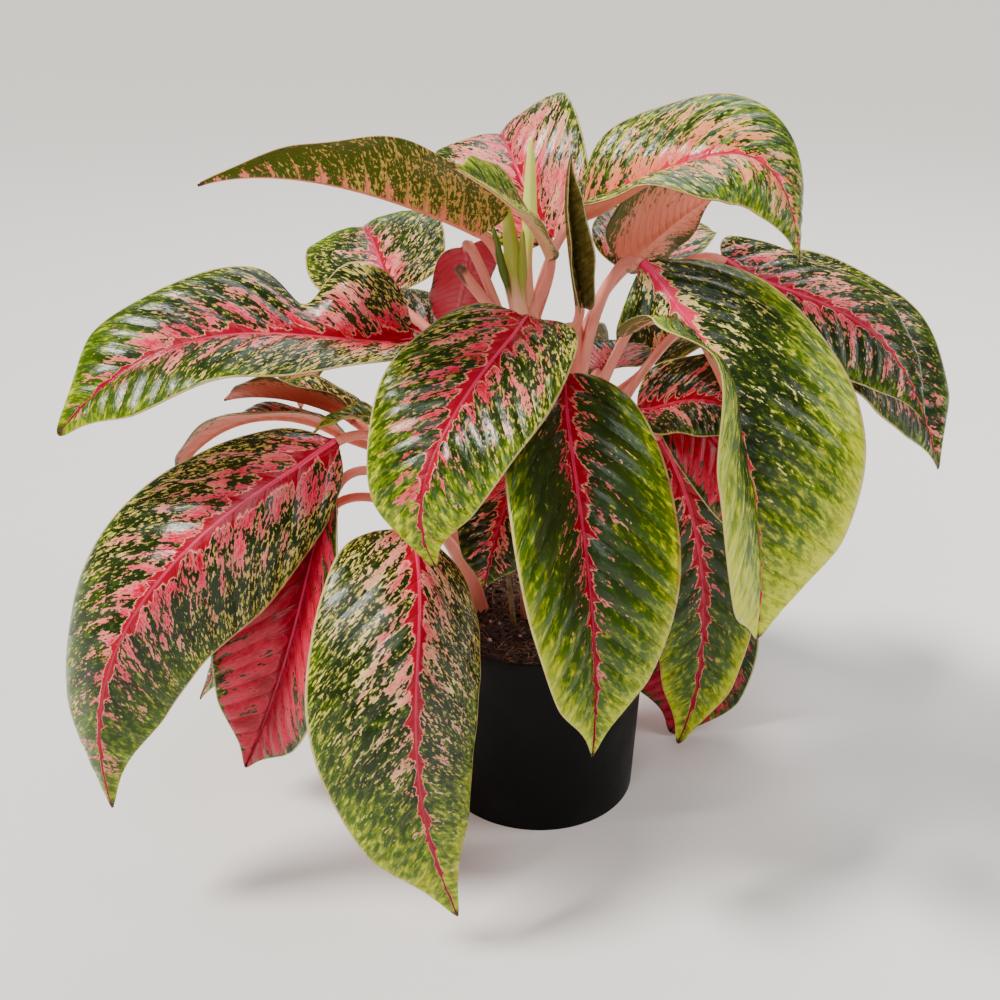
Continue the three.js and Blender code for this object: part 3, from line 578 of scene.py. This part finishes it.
def leaf_surface(row, column, step):
    """The smooth surface of a leaf at each point of a grid over it.

    It gives the points, the way out of the upper side, and each point's place on the leaf: its half,
    its shares of the length and of the half width, and how far off and along the midrib it lies when
    the blade is flattened.
    """
    even = np.arange(BLADE["rows"] + 1) / BLADE["rows"]
    shares = even - BLADE["crowding"] * np.sin(2 * math.pi * even)
    midrib = functools.partial(through, [row[key] for key in ("joint", "near", "far", "tip")])
    centres, tangents, normals, sides, length = frames_along(midrib, shares, row["face"])

    share = shares[step]
    twist = np.radians(row["twist"]) * share[:, None]
    side = sides[step] * np.cos(twist) + normals[step] * np.sin(twist)
    normal = normals[step] * np.cos(twist) - sides[step] * np.sin(twist)
    out = np.abs(column)
    hand = np.where(column < 0, -1.0, 1.0)
    spread = outline_at(share, row)
    width = np.maximum(row["width"] / 2 * spread * notched_at(row, hand, share),
                       lerp(BLADE["rib"], BLADE["rib_tip"], share))
    lift = lift_at(row, hand, share)
    curl = math.radians(row["curl"])
    slope = lift + curl * (out - 0.5)
    across = (np.sin(slope) - np.sin(lift - curl / 2)) / curl
    above = -(np.cos(slope) - np.cos(lift - curl / 2)) / curl
    swell = np.where(share < WAVE["end"], np.sin(math.pi * share / WAVE["end"]), 0)
    ripple = np.sin(2 * math.pi * row["waves"] * share + np.where(hand < 0, 0, WAVE["lag"]))
    height = width * above + row["wave"] * out ** 2 * swell * ripple
    back = row["lobe"] * length * out ** LOBE["power"] * (1 - smooth(share, 0, LOBE["end"])) * spread
    off = width * out
    aside = np.sin(slope) * hand * smooth(off, 0, RIB["level"])
    outward = normal * np.cos(slope)[:, None] - side * aside[:, None]
    outward /= np.linalg.norm(outward, axis=1)[:, None]
    middle = (centres[step] + side * (width * across * hand)[:, None] + normal * height[:, None]
              - tangents[step] * back[:, None])
    place = dict(hand=hand, share=share, out=out, off=off, run=share * length - back, length=length)
    return middle, outward, place


def leaf_relief(row, hand, share, out, off, run, length):
    """How far the upper and lower sides of a leaf stand off its smooth surface.

    It also gives where each point's side vein leaves the midrib, in millimetres and in panels.
    """
    vein_start = run - VEINS["slant"] * off - VEINS["bend"] * off ** 2
    panel = vein_start / (length / VEINS["panels"]) + VEINS["stagger"] * hand
    quilt = np.abs(np.sin(math.pi * panel)) ** VEINS["puff"] - 0.5
    quilt *= (1 - smooth(out, VEINS["rim"], 1)) * smooth(off, *VEINS["start"])
    quilt *= row["quilt"] * min(1, row["width"] / VEINS["full_width"])
    start = SWELLS["leaf_apart"] * row["seed"]
    swells = np.array([noise.noise(Vector((a / SWELLS["across"] + start, b / SWELLS["along"], h)))
                       for a, b, h in zip(off, run, hand)])
    sheet = quilt + SWELLS["height"] * swells * smooth(off, *SWELLS["start"])
    rib = lerp(RIB["wide"], RIB["narrow"], share)
    groove = RIB["groove"] * np.exp(-(off / rib) ** 2) * smooth(share, *RIB["start"])
    neck = PETIOLE["neck"]
    crown = np.sqrt(np.maximum(0, neck ** 2 - off ** 2)) * (1 - smooth(share, 0, RIB["crown"]))
    keel_radius = lerp(neck, BLADE["rib_tip"], share ** RIB["keel"])
    keel = np.sqrt(np.maximum(0, keel_radius ** 2 - off ** 2))
    upper = sheet + crown - groove + BLADE["above"]
    lower = sheet - keel - BLADE["below"]
    return upper, lower, vein_start, panel


def blade(row, skins):
    """A leaf blade: a grid laid on the leaf's surface, quilted between the side veins, then thickened."""
    start_fresh()
    bpy.ops.mesh.primitive_grid_add(
        x_subdivisions=BLADE["columns"], y_subdivisions=BLADE["rows"], size=2)
    piece = named(row["name"] + "_blade")
    grid = coordinates(piece)
    column = np.sign(grid[:, 0]) * np.abs(grid[:, 0]) ** BLADE["crowding_out"]
    step = np.rint((grid[:, 1] + 1) / 2 * BLADE["rows"]).astype(int)
    middle, outward, place = leaf_surface(row, column, step)
    up, down, vein_start, panel = leaf_relief(row, **place)
    upper = middle + outward * up[:, None]
    lower = middle + outward * down[:, None]
    set_coordinates(piece, upper * MM)

    piece.data.uv_layers.remove(piece.data.uv_layers[0])
    off, hand, centimetre = place["off"], place["hand"], VEIN_MAP["centimetre"]
    stretch = off * VEIN_MAP["spread"] + VEIN_MAP["half_apart"] * hand + VEIN_MAP["start"]
    start = vein_start + VEIN_MAP["leaf_apart"] * row["seed"]
    paint_uv(piece, "share", np.stack([column, place["share"]], 1))
    paint_uv(piece, "flat", np.stack([off * hand / centimetre, panel], 1))
    paint_uv(piece, "vein", np.stack([start, stretch], 1) / centimetre)
    wall = piece.modifiers.new("thickness", "SOLIDIFY")
    wall.thickness = (BLADE["above"] + BLADE["below"]) * MM
    wall.offset = -1
    apply_all(piece)
    set_coordinates(piece, np.concatenate([upper, lower]) * MM)
    mark(piece, "under", np.repeat([0.0, 1.0], len(upper)))
    piece.data.materials.append(skins[row["look"]])
    settle(piece, [row["name"]])


# Stems


def ringed_tube(name, curve, radius_at, steps, sides, face=(0, 0, 1)):
    """A cylinder wrapped along a curve. radius_at gives the radius at each share and turn."""
    start_fresh()
    bpy.ops.mesh.primitive_cylinder_add(vertices=sides, radius=1, depth=2, end_fill_type="TRIFAN")
    piece = named(name)
    bpy.ops.object.mode_set(mode="EDIT")
    bpy.ops.mesh.select_all(action="DESELECT")
    bpy.ops.object.mode_set(mode="OBJECT")
    for edge in piece.data.edges:
        low, high = [piece.data.vertices[v].co for v in edge.vertices]
        edge.select = abs(low.z - high.z) > 1
    bpy.ops.object.mode_set(mode="EDIT")
    bpy.ops.mesh.select_mode(type="EDGE")
    bpy.ops.mesh.subdivide_edgering(number_cuts=steps - 1, interpolation="LINEAR")
    bpy.ops.object.mode_set(mode="OBJECT")
    grid = coordinates(piece)
    step = np.rint((grid[:, 2] + 1) / 2 * steps).astype(int)
    shares = np.arange(steps + 1) / steps
    centres, _, normals, side, _ = frames_along(curve, shares, face)
    turn = np.arctan2(grid[:, 1], grid[:, 0])
    radius = radius_at(shares[step], turn) * np.hypot(grid[:, 0], grid[:, 1])
    place = (centres[step] + side[step] * (radius * np.sin(turn))[:, None]
             + normals[step] * (radius * np.cos(turn))[:, None])
    set_coordinates(piece, place * MM)
    mark(piece, "along", shares[step])
    return piece


def cane_curve(cane):
    foot, bend, top, _ = CANES[cane]
    foot = np.array(foot, float) - (0, 0, CANE["sink"])
    return functools.partial(bezier, (foot, bend, top))


def petiole_curve(row):
    """The petiole leaves its cane at a height, arches out and runs into the midrib."""
    cane = cane_curve(row["cane"])
    length = measured(cane)[1][-1]
    share = lerp(CANE["sink"] / length, 1, row["rise"]) * PETIOLE_PATH["highest"]
    centres, tangents, _, _, _ = frames_along(cane, [share], (1, 0, 0))
    foot = centres[0]
    joint = np.array(row["joint"], float)
    midrib = through([row[key] for key in ("joint", "near", "far", "tip")], [0, 0.001])
    blade_start = unit(midrib[1] - midrib[0])
    span = float(np.linalg.norm(joint - foot))
    lean = PETIOLE_PATH["lean"]
    lead = unit(unit(joint - foot) * lean + tangents[0] * (1 - lean))
    leaving = foot + lead * span * PETIOLE_PATH["foot_pull"]
    meeting = joint - blade_start * span * PETIOLE_PATH["end_pull"]
    return functools.partial(bezier, (foot, leaving, meeting, joint))


def petiole(row):
    """A fleshy petiole: round above, and below a sheath with a groove between two thin wings."""
    def radius_at(share, turn):
        round_radius = lerp(PETIOLE["foot"], PETIOLE["neck"], smooth(share, 0, PETIOLE["flare"]))
        sheath = 1 - smooth(share, SHEATH["full"], SHEATH["end"])
        away = np.abs(turn)
        groove = SHEATH["groove"] * np.exp(-(away / SHEATH["groove_width"]) ** 2)
        wings = SHEATH["wing"] * np.exp(-((away - SHEATH["wing_turn"]) / SHEATH["wing_width"]) ** 2)
        return round_radius * (1 + sheath * (wings - groove))

    return ringed_tube(row["name"] + "_petiole", petiole_curve(row), radius_at,
                       PETIOLE["steps"], PETIOLE["sides"])


def cut_petiole():
    """The stub of a petiole that was cut off, dry at its cut end."""
    def radius_at(share, turn):
        return CUT_PETIOLE["radius"] + CUT_PETIOLE["oval"] * np.sin(2 * turn)

    line = CUT_PETIOLE["line"]
    piece = ringed_tube("cut_petiole", functools.partial(bezier, line), radius_at,
                        CUT_PETIOLE["steps"], CUT_PETIOLE["sides"])
    aside = np.hypot(*(coordinates(piece) / MM - line[-1]).T[:2])
    mark(piece, "cut", aside < CUT_PETIOLE["dry_end"])
    return piece


def joined(parts, name):
    start_fresh()
    for part in parts:
        part.select_set(True)
    bpy.context.view_layer.objects.active = parts[0]
    bpy.ops.object.join()
    return named(name)


def stem(name, material):
    """One shoot: its cane, ringed by old leaf scars, and its petioles, joined in one piece."""
    _, _, _, (low, high) = CANES[name]

    def radius_at(share, turn):
        scar_place = (share * CANE["scars"] + CANE["scar_slant"] * np.sin(turn)) % 1
        scar = CANE["scar"] * np.exp(-((scar_place - 0.5) / CANE["scar_width"]) ** 2)
        return lerp(low, high, share) + scar

    parts = [ringed_tube("cane_" + name, cane_curve(name), radius_at, CANE["steps"], CANE["sides"])]
    parts += [petiole(row) for row in LEAVES if row["cane"] == name]
    if name == "main":
        parts.append(cut_petiole())
    piece = joined(parts, "shoot_" + name)
    piece.data.materials.append(material)
    settle(piece, ["stem_" + name])


def spears(material):
    """Rolled young leaves, lens-shaped, each on a sheath that wraps its foot."""
    parts = []
    low, neck, high = SPEAR["shares"]
    power = SPEAR["power"]
    for number, (foot, middle, tip, radius, youth) in enumerate(SPEARS):
        def radius_at(share, turn, radius=radius):
            waist = (SPEAR["foot"] - SPEAR["neck"] * smooth(share, low, neck)
                     + SPEAR["swell"] * smooth(share, neck, high))
            wide = (np.abs(np.sin(turn)) / SPEAR["wide"]) ** power
            thick = (np.abs(np.cos(turn)) / SPEAR["thick"]) ** power
            return radius * waist * (wide + thick) ** (-1 / power) * np.sqrt(1 - share) + SPEAR["tip"]

        curve = functools.partial(bezier, (foot, middle, tip))
        part = ringed_tube(f"spear_{number}", curve, radius_at, SPEAR["steps"], SPEAR["sides"], (0, -1, 0))
        mark(part, "youth", [youth] * len(part.data.vertices))
        parts.append(part)
    piece = joined(parts, "rolled_leaves")
    piece.data.materials.append(material)
    settle(piece, ["spears"])


def dry_stalk(material):
    """The dry stalk of an old leaf that stands in the mix, curled at its end."""
    def radius_at(share, turn):
        return DRY_STALK["radius"] - DRY_STALK["taper"] * share + DRY_STALK["ribs"] * np.sin(3 * turn)

    curve = functools.partial(bezier, DRY_STALK["line"])
    piece = ringed_tube("dry_stalk", curve, radius_at, DRY_STALK["steps"], DRY_STALK["sides"], (0, -1, 0))
    piece.data.materials.append(material)
    settle(piece)


def petiole_flesh():
    """Petiole skin: fleshy and satin. It gives the eye salmon pink, creamier where the sheath wraps
    the cane, with fine ridges along it and a dry brown end where one was cut."""
    material, add, shader = new_material("fleshy_salmon_petiole")
    along = add("Attribute", out="Fac", attribute_name="along")
    cut = add("Attribute", out="Fac", attribute_name="cut")
    spot = add("TexCoord", out="Object")
    grain_place = add("VectorMath", (spot, (260, 260, 60)), operation="MULTIPLY")
    grain = add("TexNoise", {"Vector": grain_place, "Scale": 1.0, "Detail": 4.0})
    tint = add("ValToRGB", (along,), ramp=((0.0, "#e8b496"), (1.0, "#ee8a78"), (0.35, "#f0ac98")))
    skin = add("Mix", {0: grain, 6: tint, 7: "#e08070"}, out=2, data_type="RGBA")
    skin = add("Mix", {0: cut, 6: skin, 7: "#6a4024"}, out=2, data_type="RGBA")
    ridges = add("Bump", {"Height": grain, "Strength": 0.25, "Distance": 0.0005})
    feed(shader, {"Base Color": skin, "Roughness": 0.42, "Normal": ridges, "Subsurface Weight": 0.12,
                  "Subsurface Radius": (0.004, 0.0015, 0.001)})
    return material


def spear_skin():
    """Rolled leaf skin, satin. It gives the eye a cream and pink sheath below, then olive lime, and
    bright lime on the youngest, with streaks about 1 mm wide."""
    material, add, shader = new_material("rolled_lime_leaf")
    along = add("Attribute", out="Fac", attribute_name="along")
    youth = add("Attribute", out="Fac", attribute_name="youth")
    spot = add("TexCoord", out="Object")
    streak_place = add("VectorMath", (spot, (900, 900, 40)), operation="MULTIPLY")
    streak = add("TexNoise", {"Vector": streak_place, "Scale": 1.0, "Detail": 3.0})
    lime = add("ValToRGB", (youth,), ramp=((0.0, "#5c7414"), (1.0, "#eaf47c"), (0.5, "#b2b63e")))
    shade = add("ValToRGB", (youth,), ramp=((0.0, "#41560c"), (1.0, "#cfd95c"), (0.5, "#969c30")))
    skin = add("Mix", {0: streak, 6: lime, 7: shade}, out=2, data_type="RGBA")
    sheath = add("MapRange", (along, 0.3, 0.48, 1.0, 0.0))
    skin = add("Mix", {0: sheath, 6: skin, 7: "#eeb898"}, out=2, data_type="RGBA")
    feed(shader, {"Base Color": skin, "Roughness": 0.38})
    return material


# Pot


def outer_radius(z):
    return lerp(POT["foot"], POT["rim"], z / POT["height"])


def select_faces(piece, test):
    """Leaves only the faces selected whose centre and normal pass the test, in edit mode."""
    bpy.ops.object.mode_set(mode="EDIT")
    bpy.ops.mesh.select_mode(type="FACE")
    bpy.ops.mesh.select_all(action="DESELECT")
    bpy.ops.object.mode_set(mode="OBJECT")
    for face in piece.data.polygons:
        face.select = bool(test(face.center, face.normal))
    bpy.ops.object.mode_set(mode="EDIT")


def pot(material):
    """A thin-walled blow-moulded nursery pot: rolled rim, foot ring and drain holes."""
    start_fresh()
    height, foot, rim, wall = [POT[key] * MM for key in ("height", "foot", "rim", "wall")]
    pad, ring, recess = [POT_FOOT[key] * MM for key in ("pad", "ring", "recess")]
    lip, band = POT_RIM["lip"] * MM, POT_RIM["height"] * MM
    inside = POT["floor"] * MM + recess
    bpy.ops.mesh.primitive_cone_add(vertices=POT["sides"], radius1=foot, radius2=rim, depth=height,
                                    location=(0, 0, height / 2), end_fill_type="NGON")
    piece = named("nursery_pot")
    bpy.ops.object.transform_apply(location=True)
    bpy.ops.object.mode_set(mode="EDIT")
    bpy.ops.mesh.select_all(action="SELECT")
    bpy.ops.mesh.bisect(plane_co=(0, 0, height - band), plane_no=(0, 0, 1))

    # The rolled rim, the hollow inside, and the recess, ring and pad of the foot.
    select_faces(piece, lambda c, n: n.z < 0.5 and c.z > height - band)
    bpy.ops.mesh.extrude_region_shrink_fatten(TRANSFORM_OT_shrink_fatten={"value": lip})
    select_faces(piece, lambda c, n: n.z > 0.9 and c.z > height - MM and math.hypot(c.x, c.y) < foot / 2)
    bpy.ops.mesh.inset(thickness=wall, use_boundary=True)
    bpy.ops.mesh.extrude_region_move(TRANSFORM_OT_translate={"value": (0, 0, inside - height)})
    narrow = (outer_radius(inside / MM) * MM - wall) / (rim - wall)
    bpy.ops.transform.resize(value=(narrow, narrow, 1))
    select_faces(piece, lambda c, n: n.z < -0.9 and c.z < MM)
    bpy.ops.mesh.inset(thickness=foot - ring, use_boundary=True)
    bpy.ops.mesh.extrude_region_move(TRANSFORM_OT_translate={"value": (0, 0, recess)})
    bpy.ops.mesh.inset(thickness=ring - pad, use_boundary=True)
    bpy.ops.mesh.extrude_region_move(TRANSFORM_OT_translate={"value": (0, 0, -recess)})
    bpy.ops.object.mode_set(mode="OBJECT")
    drill_drain_holes(piece, inside)
    soft = piece.modifiers.new("soft edges", "BEVEL")
    soft.width = POT["soft_edge"] * MM
    soft.segments = 3
    soft.limit_method = "ANGLE"
    soft.angle_limit = math.radians(40)
    apply_all(piece)
    piece.data.materials.append(material)
    settle(piece, ["pot"], smooth_faces=False)
    bpy.ops.object.shade_smooth_by_angle(angle=math.radians(35))


def drill_drain_holes(piece, inside):
    """Drills the drain holes in a circle through the foot, up to past the inside floor."""
    radius, circle = POT_FOOT["hole_radius"] * MM, POT_FOOT["hole_circle"] * MM
    for i in range(POT_FOOT["holes"]):
        turn = 2 * math.pi * i / POT_FOOT["holes"]
        start_fresh()
        bpy.ops.mesh.primitive_cylinder_add(
            vertices=POT_FOOT["hole_sides"], radius=radius, depth=inside * 3,
            location=(circle * math.cos(turn), circle * math.sin(turn), inside / 2))
        drill = bpy.context.object
        cut = piece.modifiers.new("drain hole", "BOOLEAN")
        cut.operation = "DIFFERENCE"
        cut.solver = "EXACT"
        cut.object = drill
        start_fresh()
        bpy.context.view_layer.objects.active = piece
        bpy.ops.object.modifier_apply(modifier=cut.name)
        bpy.data.objects.remove(drill)


def moulded_polypropylene():
    """Moulded polypropylene. It gives the eye a matte black that goes grey on its highlights, with
    a fine grain and a little dust."""
    material, add, shader = new_material("black_moulded_polypropylene")
    spot = add("TexCoord", out="Object")
    grain = add("TexNoise", {"Vector": spot, "Scale": 2500.0, "Detail": 2.0})
    scuff = add("TexNoise", {"Vector": spot, "Scale": 35.0, "Detail": 5.0})
    dust = add("MapRange", (scuff, 0.55, 0.85, 0.0, 0.35))
    colour = add("Mix", {0: dust, 6: "#020202", 7: "#0a0908"}, out=2, data_type="RGBA")
    rough = add("MapRange", (scuff, 0.3, 0.8, 0.42, 0.62))
    relief = add("Bump", {"Height": grain, "Strength": 0.12, "Distance": 0.0002})
    feed(shader, {"Base Color": colour, "Roughness": rough, "Normal": relief, "Specular IOR Level": 0.1})
    return material


# Potting mix


MIX_EDGE = outer_radius(MIX["top"]) - POT["wall"]


def mix_height(x, y):
    """Height of the mix in millimetres at a place in millimetres."""
    heap = 1 - float(smooth(math.hypot(x, y), MIX["flat"] * MIX_EDGE, MIX_EDGE))
    lumps = sum(depth * noise.noise(Vector((x / width, y / width, layer))) for depth, width, layer in LUMPS)
    return MIX["top"] - MIX["sunk"] + MIX["heave"] * (heap * MIX["dome"] + MIX["rough"] * lumps)


def potting_mix(material):
    """The mix: a crumbly disc of coco peat that fills the pot."""
    start_fresh()
    bpy.ops.mesh.primitive_grid_add(x_subdivisions=MIX["cells"], y_subdivisions=MIX["cells"], size=2)
    piece = named("coco_peat")
    edge = MIX_EDGE - MIX["gap"]
    disc = []
    for x, y, _ in coordinates(piece):
        a = x * math.sqrt(1 - y * y / 2) * edge
        b = y * math.sqrt(1 - x * x / 2) * edge
        disc.append((a, b, mix_height(a, b)))
    set_coordinates(piece, np.array(disc) * MM)
    bpy.ops.object.mode_set(mode="EDIT")
    bpy.ops.mesh.select_all(action="SELECT")
    bpy.ops.mesh.extrude_region_move(TRANSFORM_OT_translate={"value": (0, 0, -MIX["top"] * MM)})
    bpy.ops.object.mode_set(mode="OBJECT")
    bottom = POT["floor"] + POT_FOOT["recess"] + MIX["foot_gap"]
    narrow = (outer_radius(bottom) - POT["wall"] - MIX["foot_gap"]) / edge
    place = coordinates(piece)
    low = place[:, 2] < MIX["top"] / 2 * MM
    place[low] = place[low] * (narrow, narrow, 0) + (0, 0, bottom * MM)
    set_coordinates(piece, place)
    bpy.ops.object.mode_set(mode="EDIT")
    bpy.ops.mesh.select_all(action="SELECT")
    bpy.ops.mesh.normals_make_consistent(inside=False)
    bpy.ops.object.mode_set(mode="OBJECT")
    piece.data.materials.append(material)
    settle(piece, ["potting_mix"])


def scattered(name, shape, table, one_copy, material):
    """Many copies of one small shape in one mesh. one_copy draws the points of each."""
    draw = random.Random(table["seed"])
    points = coordinates(shape)
    faces = [tuple(face.vertices) for face in shape.data.polygons]
    all_points, all_faces = [], []
    for _ in range(table["count"]):
        all_faces += [tuple(v + len(all_points) for v in face) for face in faces]
        all_points += [tuple(p) for p in one_copy(draw, points)]
    mesh = bpy.data.meshes.new(name)
    mesh.from_pydata(all_points, [], all_faces)
    mesh.materials.append(material)
    piece = bpy.data.objects.new(name, mesh)
    bpy.context.collection.objects.link(piece)
    bpy.data.objects.remove(shape)
    settle(piece)


def spot_on_mix(draw):
    """A place on the mix, clear of the pot."""
    radius = (MIX_EDGE - MIX["clear"]) * math.sqrt(draw.random())
    turn = draw.uniform(0, 2 * math.pi)
    x, y = radius * math.cos(turn), radius * math.sin(turn)
    return x, y, mix_height(x, y)


def turned_by(yaw, pitch, roll, sizes):
    """Rows that turn a small shape and size it along its own axes."""
    cy, sy, cp, sp, cr, sr = [f(a) for a in (yaw, pitch, roll) for f in (math.cos, math.sin)]
    yawing = np.array(((cy, sy, 0), (-sy, cy, 0), (0, 0, 1)))
    pitching = np.array(((cp, 0, -sp), (0, 1, 0), (sp, 0, cp)))
    rolling = np.array(((1, 0, 0), (0, cr, sr), (0, -sr, cr)))
    return np.diag(sizes) @ rolling @ pitching @ yawing


def jagged(draw, points, jag):
    """A small round shape with each corner moved in or out."""
    sizes = np.array([draw.uniform(*jag) for _ in range(JAGS)])
    return points * sizes[:len(points), None]


def coir_fibres(material):
    """Coir fibres that lie on the mix: thin, bowed and nearly level."""
    def one_fibre(draw, points):
        x, y, z = spot_on_mix(draw)
        length = draw.uniform(*FIBRES["length"]) * MM
        radius = draw.uniform(*FIBRES["radius"]) * MM
        bow = draw.uniform(-FIBRES["bow"], FIBRES["bow"])
        turn = turned_by(draw.uniform(*ANY_TURN), draw.gauss(0, FIBRES["tilt"]), draw.uniform(*ANY_TURN),
                         (length, radius, radius))
        centre = np.array((x, y, z + draw.uniform(*FIBRES["lift"]))) * MM
        bowed = points.copy()
        bowed[:, 1] += bow * (4 * points[:, 0] ** 2 - 0.4)
        return bowed @ turn + centre

    start_fresh()
    bpy.ops.mesh.primitive_cylinder_add(vertices=4, radius=1, depth=1, rotation=(0, math.pi / 2, 0))
    bpy.ops.object.transform_apply(rotation=True)
    fibre = bpy.context.object
    bpy.ops.object.mode_set(mode="EDIT")
    for cut in FIBRES["cuts"]:
        bpy.ops.mesh.select_all(action="SELECT")
        bpy.ops.mesh.bisect(plane_co=(cut, 0, 0), plane_no=(1, 0, 0))
    bpy.ops.object.mode_set(mode="OBJECT")
    scattered("coir_fibres", fibre, FIBRES, one_fibre, material)


def bark_chips(material):
    """Bark chips, from crumbs to flat flakes."""
    def one_chip(draw, points):
        x, y, z = spot_on_mix(draw)
        size = draw.uniform(*CHIPS["size"]) * MM
        yaw = draw.uniform(*ANY_TURN)
        pitch = draw.gauss(0, CHIPS["tilt"])
        roll = draw.gauss(0, CHIPS["tilt"])
        length = size * draw.uniform(*CHIPS["longer"])
        turn = turned_by(yaw, pitch, roll, (length, size, size * draw.uniform(*CHIPS["thinner"])))
        return jagged(draw, points, CHIPS["jag"]) @ turn + np.array((x, y, z + CHIPS["lift"])) * MM

    start_fresh()
    bpy.ops.mesh.primitive_ico_sphere_add(subdivisions=2, radius=1)
    scattered("bark_chips", bpy.context.object, CHIPS, one_chip, material)


def white_stones(material):
    """A few small white stones."""
    def one_stone(draw, points):
        x, y, z = spot_on_mix(draw)
        size = draw.uniform(*STONES["size"]) * MM
        shape = jagged(draw, points, STONES["jag"])
        turn = turned_by(draw.uniform(*ANY_TURN), 0, 0, (size, size, size))
        return shape @ turn + np.array((x, y, z + STONES["lift"])) * MM

    start_fresh()
    bpy.ops.mesh.primitive_ico_sphere_add(subdivisions=2, radius=1)
    scattered("white_stones", bpy.context.object, STONES, one_stone, material)


def earthy(name, dark, light, scale, roughness):
    """Dry or damp plant matter. It gives the eye broken colour in small grains, with no shine."""
    material, add, shader = new_material(name)
    spot = add("TexCoord", out="Object")
    grains = add("TexNoise", {"Vector": spot, "Scale": scale, "Detail": 5.0, "Roughness": 0.7})
    spread = add("MapRange", (grains, 0.35, 0.68, 0.0, 1.0))
    colour = add("Mix", {0: spread, 6: dark, 7: light}, out=2, data_type="RGBA")
    relief = add("Bump", {"Height": grains, "Strength": 0.7, "Distance": 0.001})
    feed(shader, {"Base Color": colour, "Roughness": roughness, "Normal": relief})
    return material


# Studio

# Each lamp: its name, kind, place in metres, power and settings. They look at the plant's middle.
LAMPS = (
    ("key", "SUN", (-0.9, -0.1, 1.5), 5.0, dict(angle=math.radians(14), color=(1.0, 0.96, 0.9))),
    ("front", "AREA", (-0.3, -1.5, 1.5), 16, dict(size=1.0)),
    ("side", "AREA", (1.3, -0.2, 1.1), 9, dict(size=0.8)),
    ("sky", "AREA", (0.2, 1.0, 1.5), 16, dict(size=1.2, color=(0.9, 0.95, 1.0))),
)
LAMP_AIM = Vector((0, 0, 0.2))


def floor_and_sky():
    """A pale matte floor and an even pale sky. Nothing here belongs to the plant."""
    start_fresh()
    bpy.ops.mesh.primitive_plane_add(size=60)
    floor = named("floor")
    material, _, shader = new_material("pale_matte_floor")
    feed(shader, {"Base Color": "#e8e6e2", "Roughness": 0.8})
    floor.data.materials.append(material)
    world = bpy.data.worlds.new("pale_sky")
    bpy.context.scene.world = world
    world.use_nodes = True
    feed(world.node_tree.nodes["Background"], {"Color": "#f4f2ee", "Strength": 0.24})


def lamps():
    """Soft lamps, the warm key light on the left."""
    for name, kind, place, power, settings in LAMPS:
        lamp = bpy.data.lights.new(name, kind)
        lamp.energy = power
        for key, value in settings.items():
            setattr(lamp, key, value)
        piece = bpy.data.objects.new(name, lamp)
        piece.location = place
        piece.rotation_euler = (LAMP_AIM - Vector(place)).to_track_quat("-Z", "Y").to_euler()
        bpy.context.collection.objects.link(piece)


def camera():
    """A camera at the photograph's eye point."""
    lens = bpy.data.cameras.new("camera")
    lens.sensor_fit = "HORIZONTAL"
    lens.sensor_width = CAMERA["sensor"]
    lens.lens = CAMERA["lens"]
    eye = bpy.data.objects.new("camera", lens)
    eye.location = Vector(CAMERA["place"]) * MM
    eye.rotation_euler = (math.radians(90 - CAMERA["down"]), 0, 0)
    bpy.context.collection.objects.link(eye)
    bpy.context.scene.camera = eye


def build():
    skins = {name: leaf_skin("leaf_skin_" + name, dict(PLAIN_LOOK, **look)) for name, look in LOOKS.items()}
    for row in LEAVES:
        blade(row, skins)
    flesh = petiole_flesh()
    for name in CANES:
        stem(name, flesh)
    spears(spear_skin())
    dry_stalk(earthy("dry_stalk", "#4a3a20", "#8a7444", 260.0, 0.7))
    pot(moulded_polypropylene())
    potting_mix(earthy("damp_coco_peat", "#0d0705", "#2c1b12", 420.0, 0.9))
    coir_fibres(earthy("coir_fibre", "#4a2f1f", "#a08064", 300.0, 0.6))
    bark_chips(earthy("bark_chip", "#150c08", "#3c261a", 500.0, 0.8))
    white_stones(earthy("white_stone", "#b9b2a4", "#e4e0d6", 600.0, 0.9))


camera()
floor_and_sky()
lamps()
build()
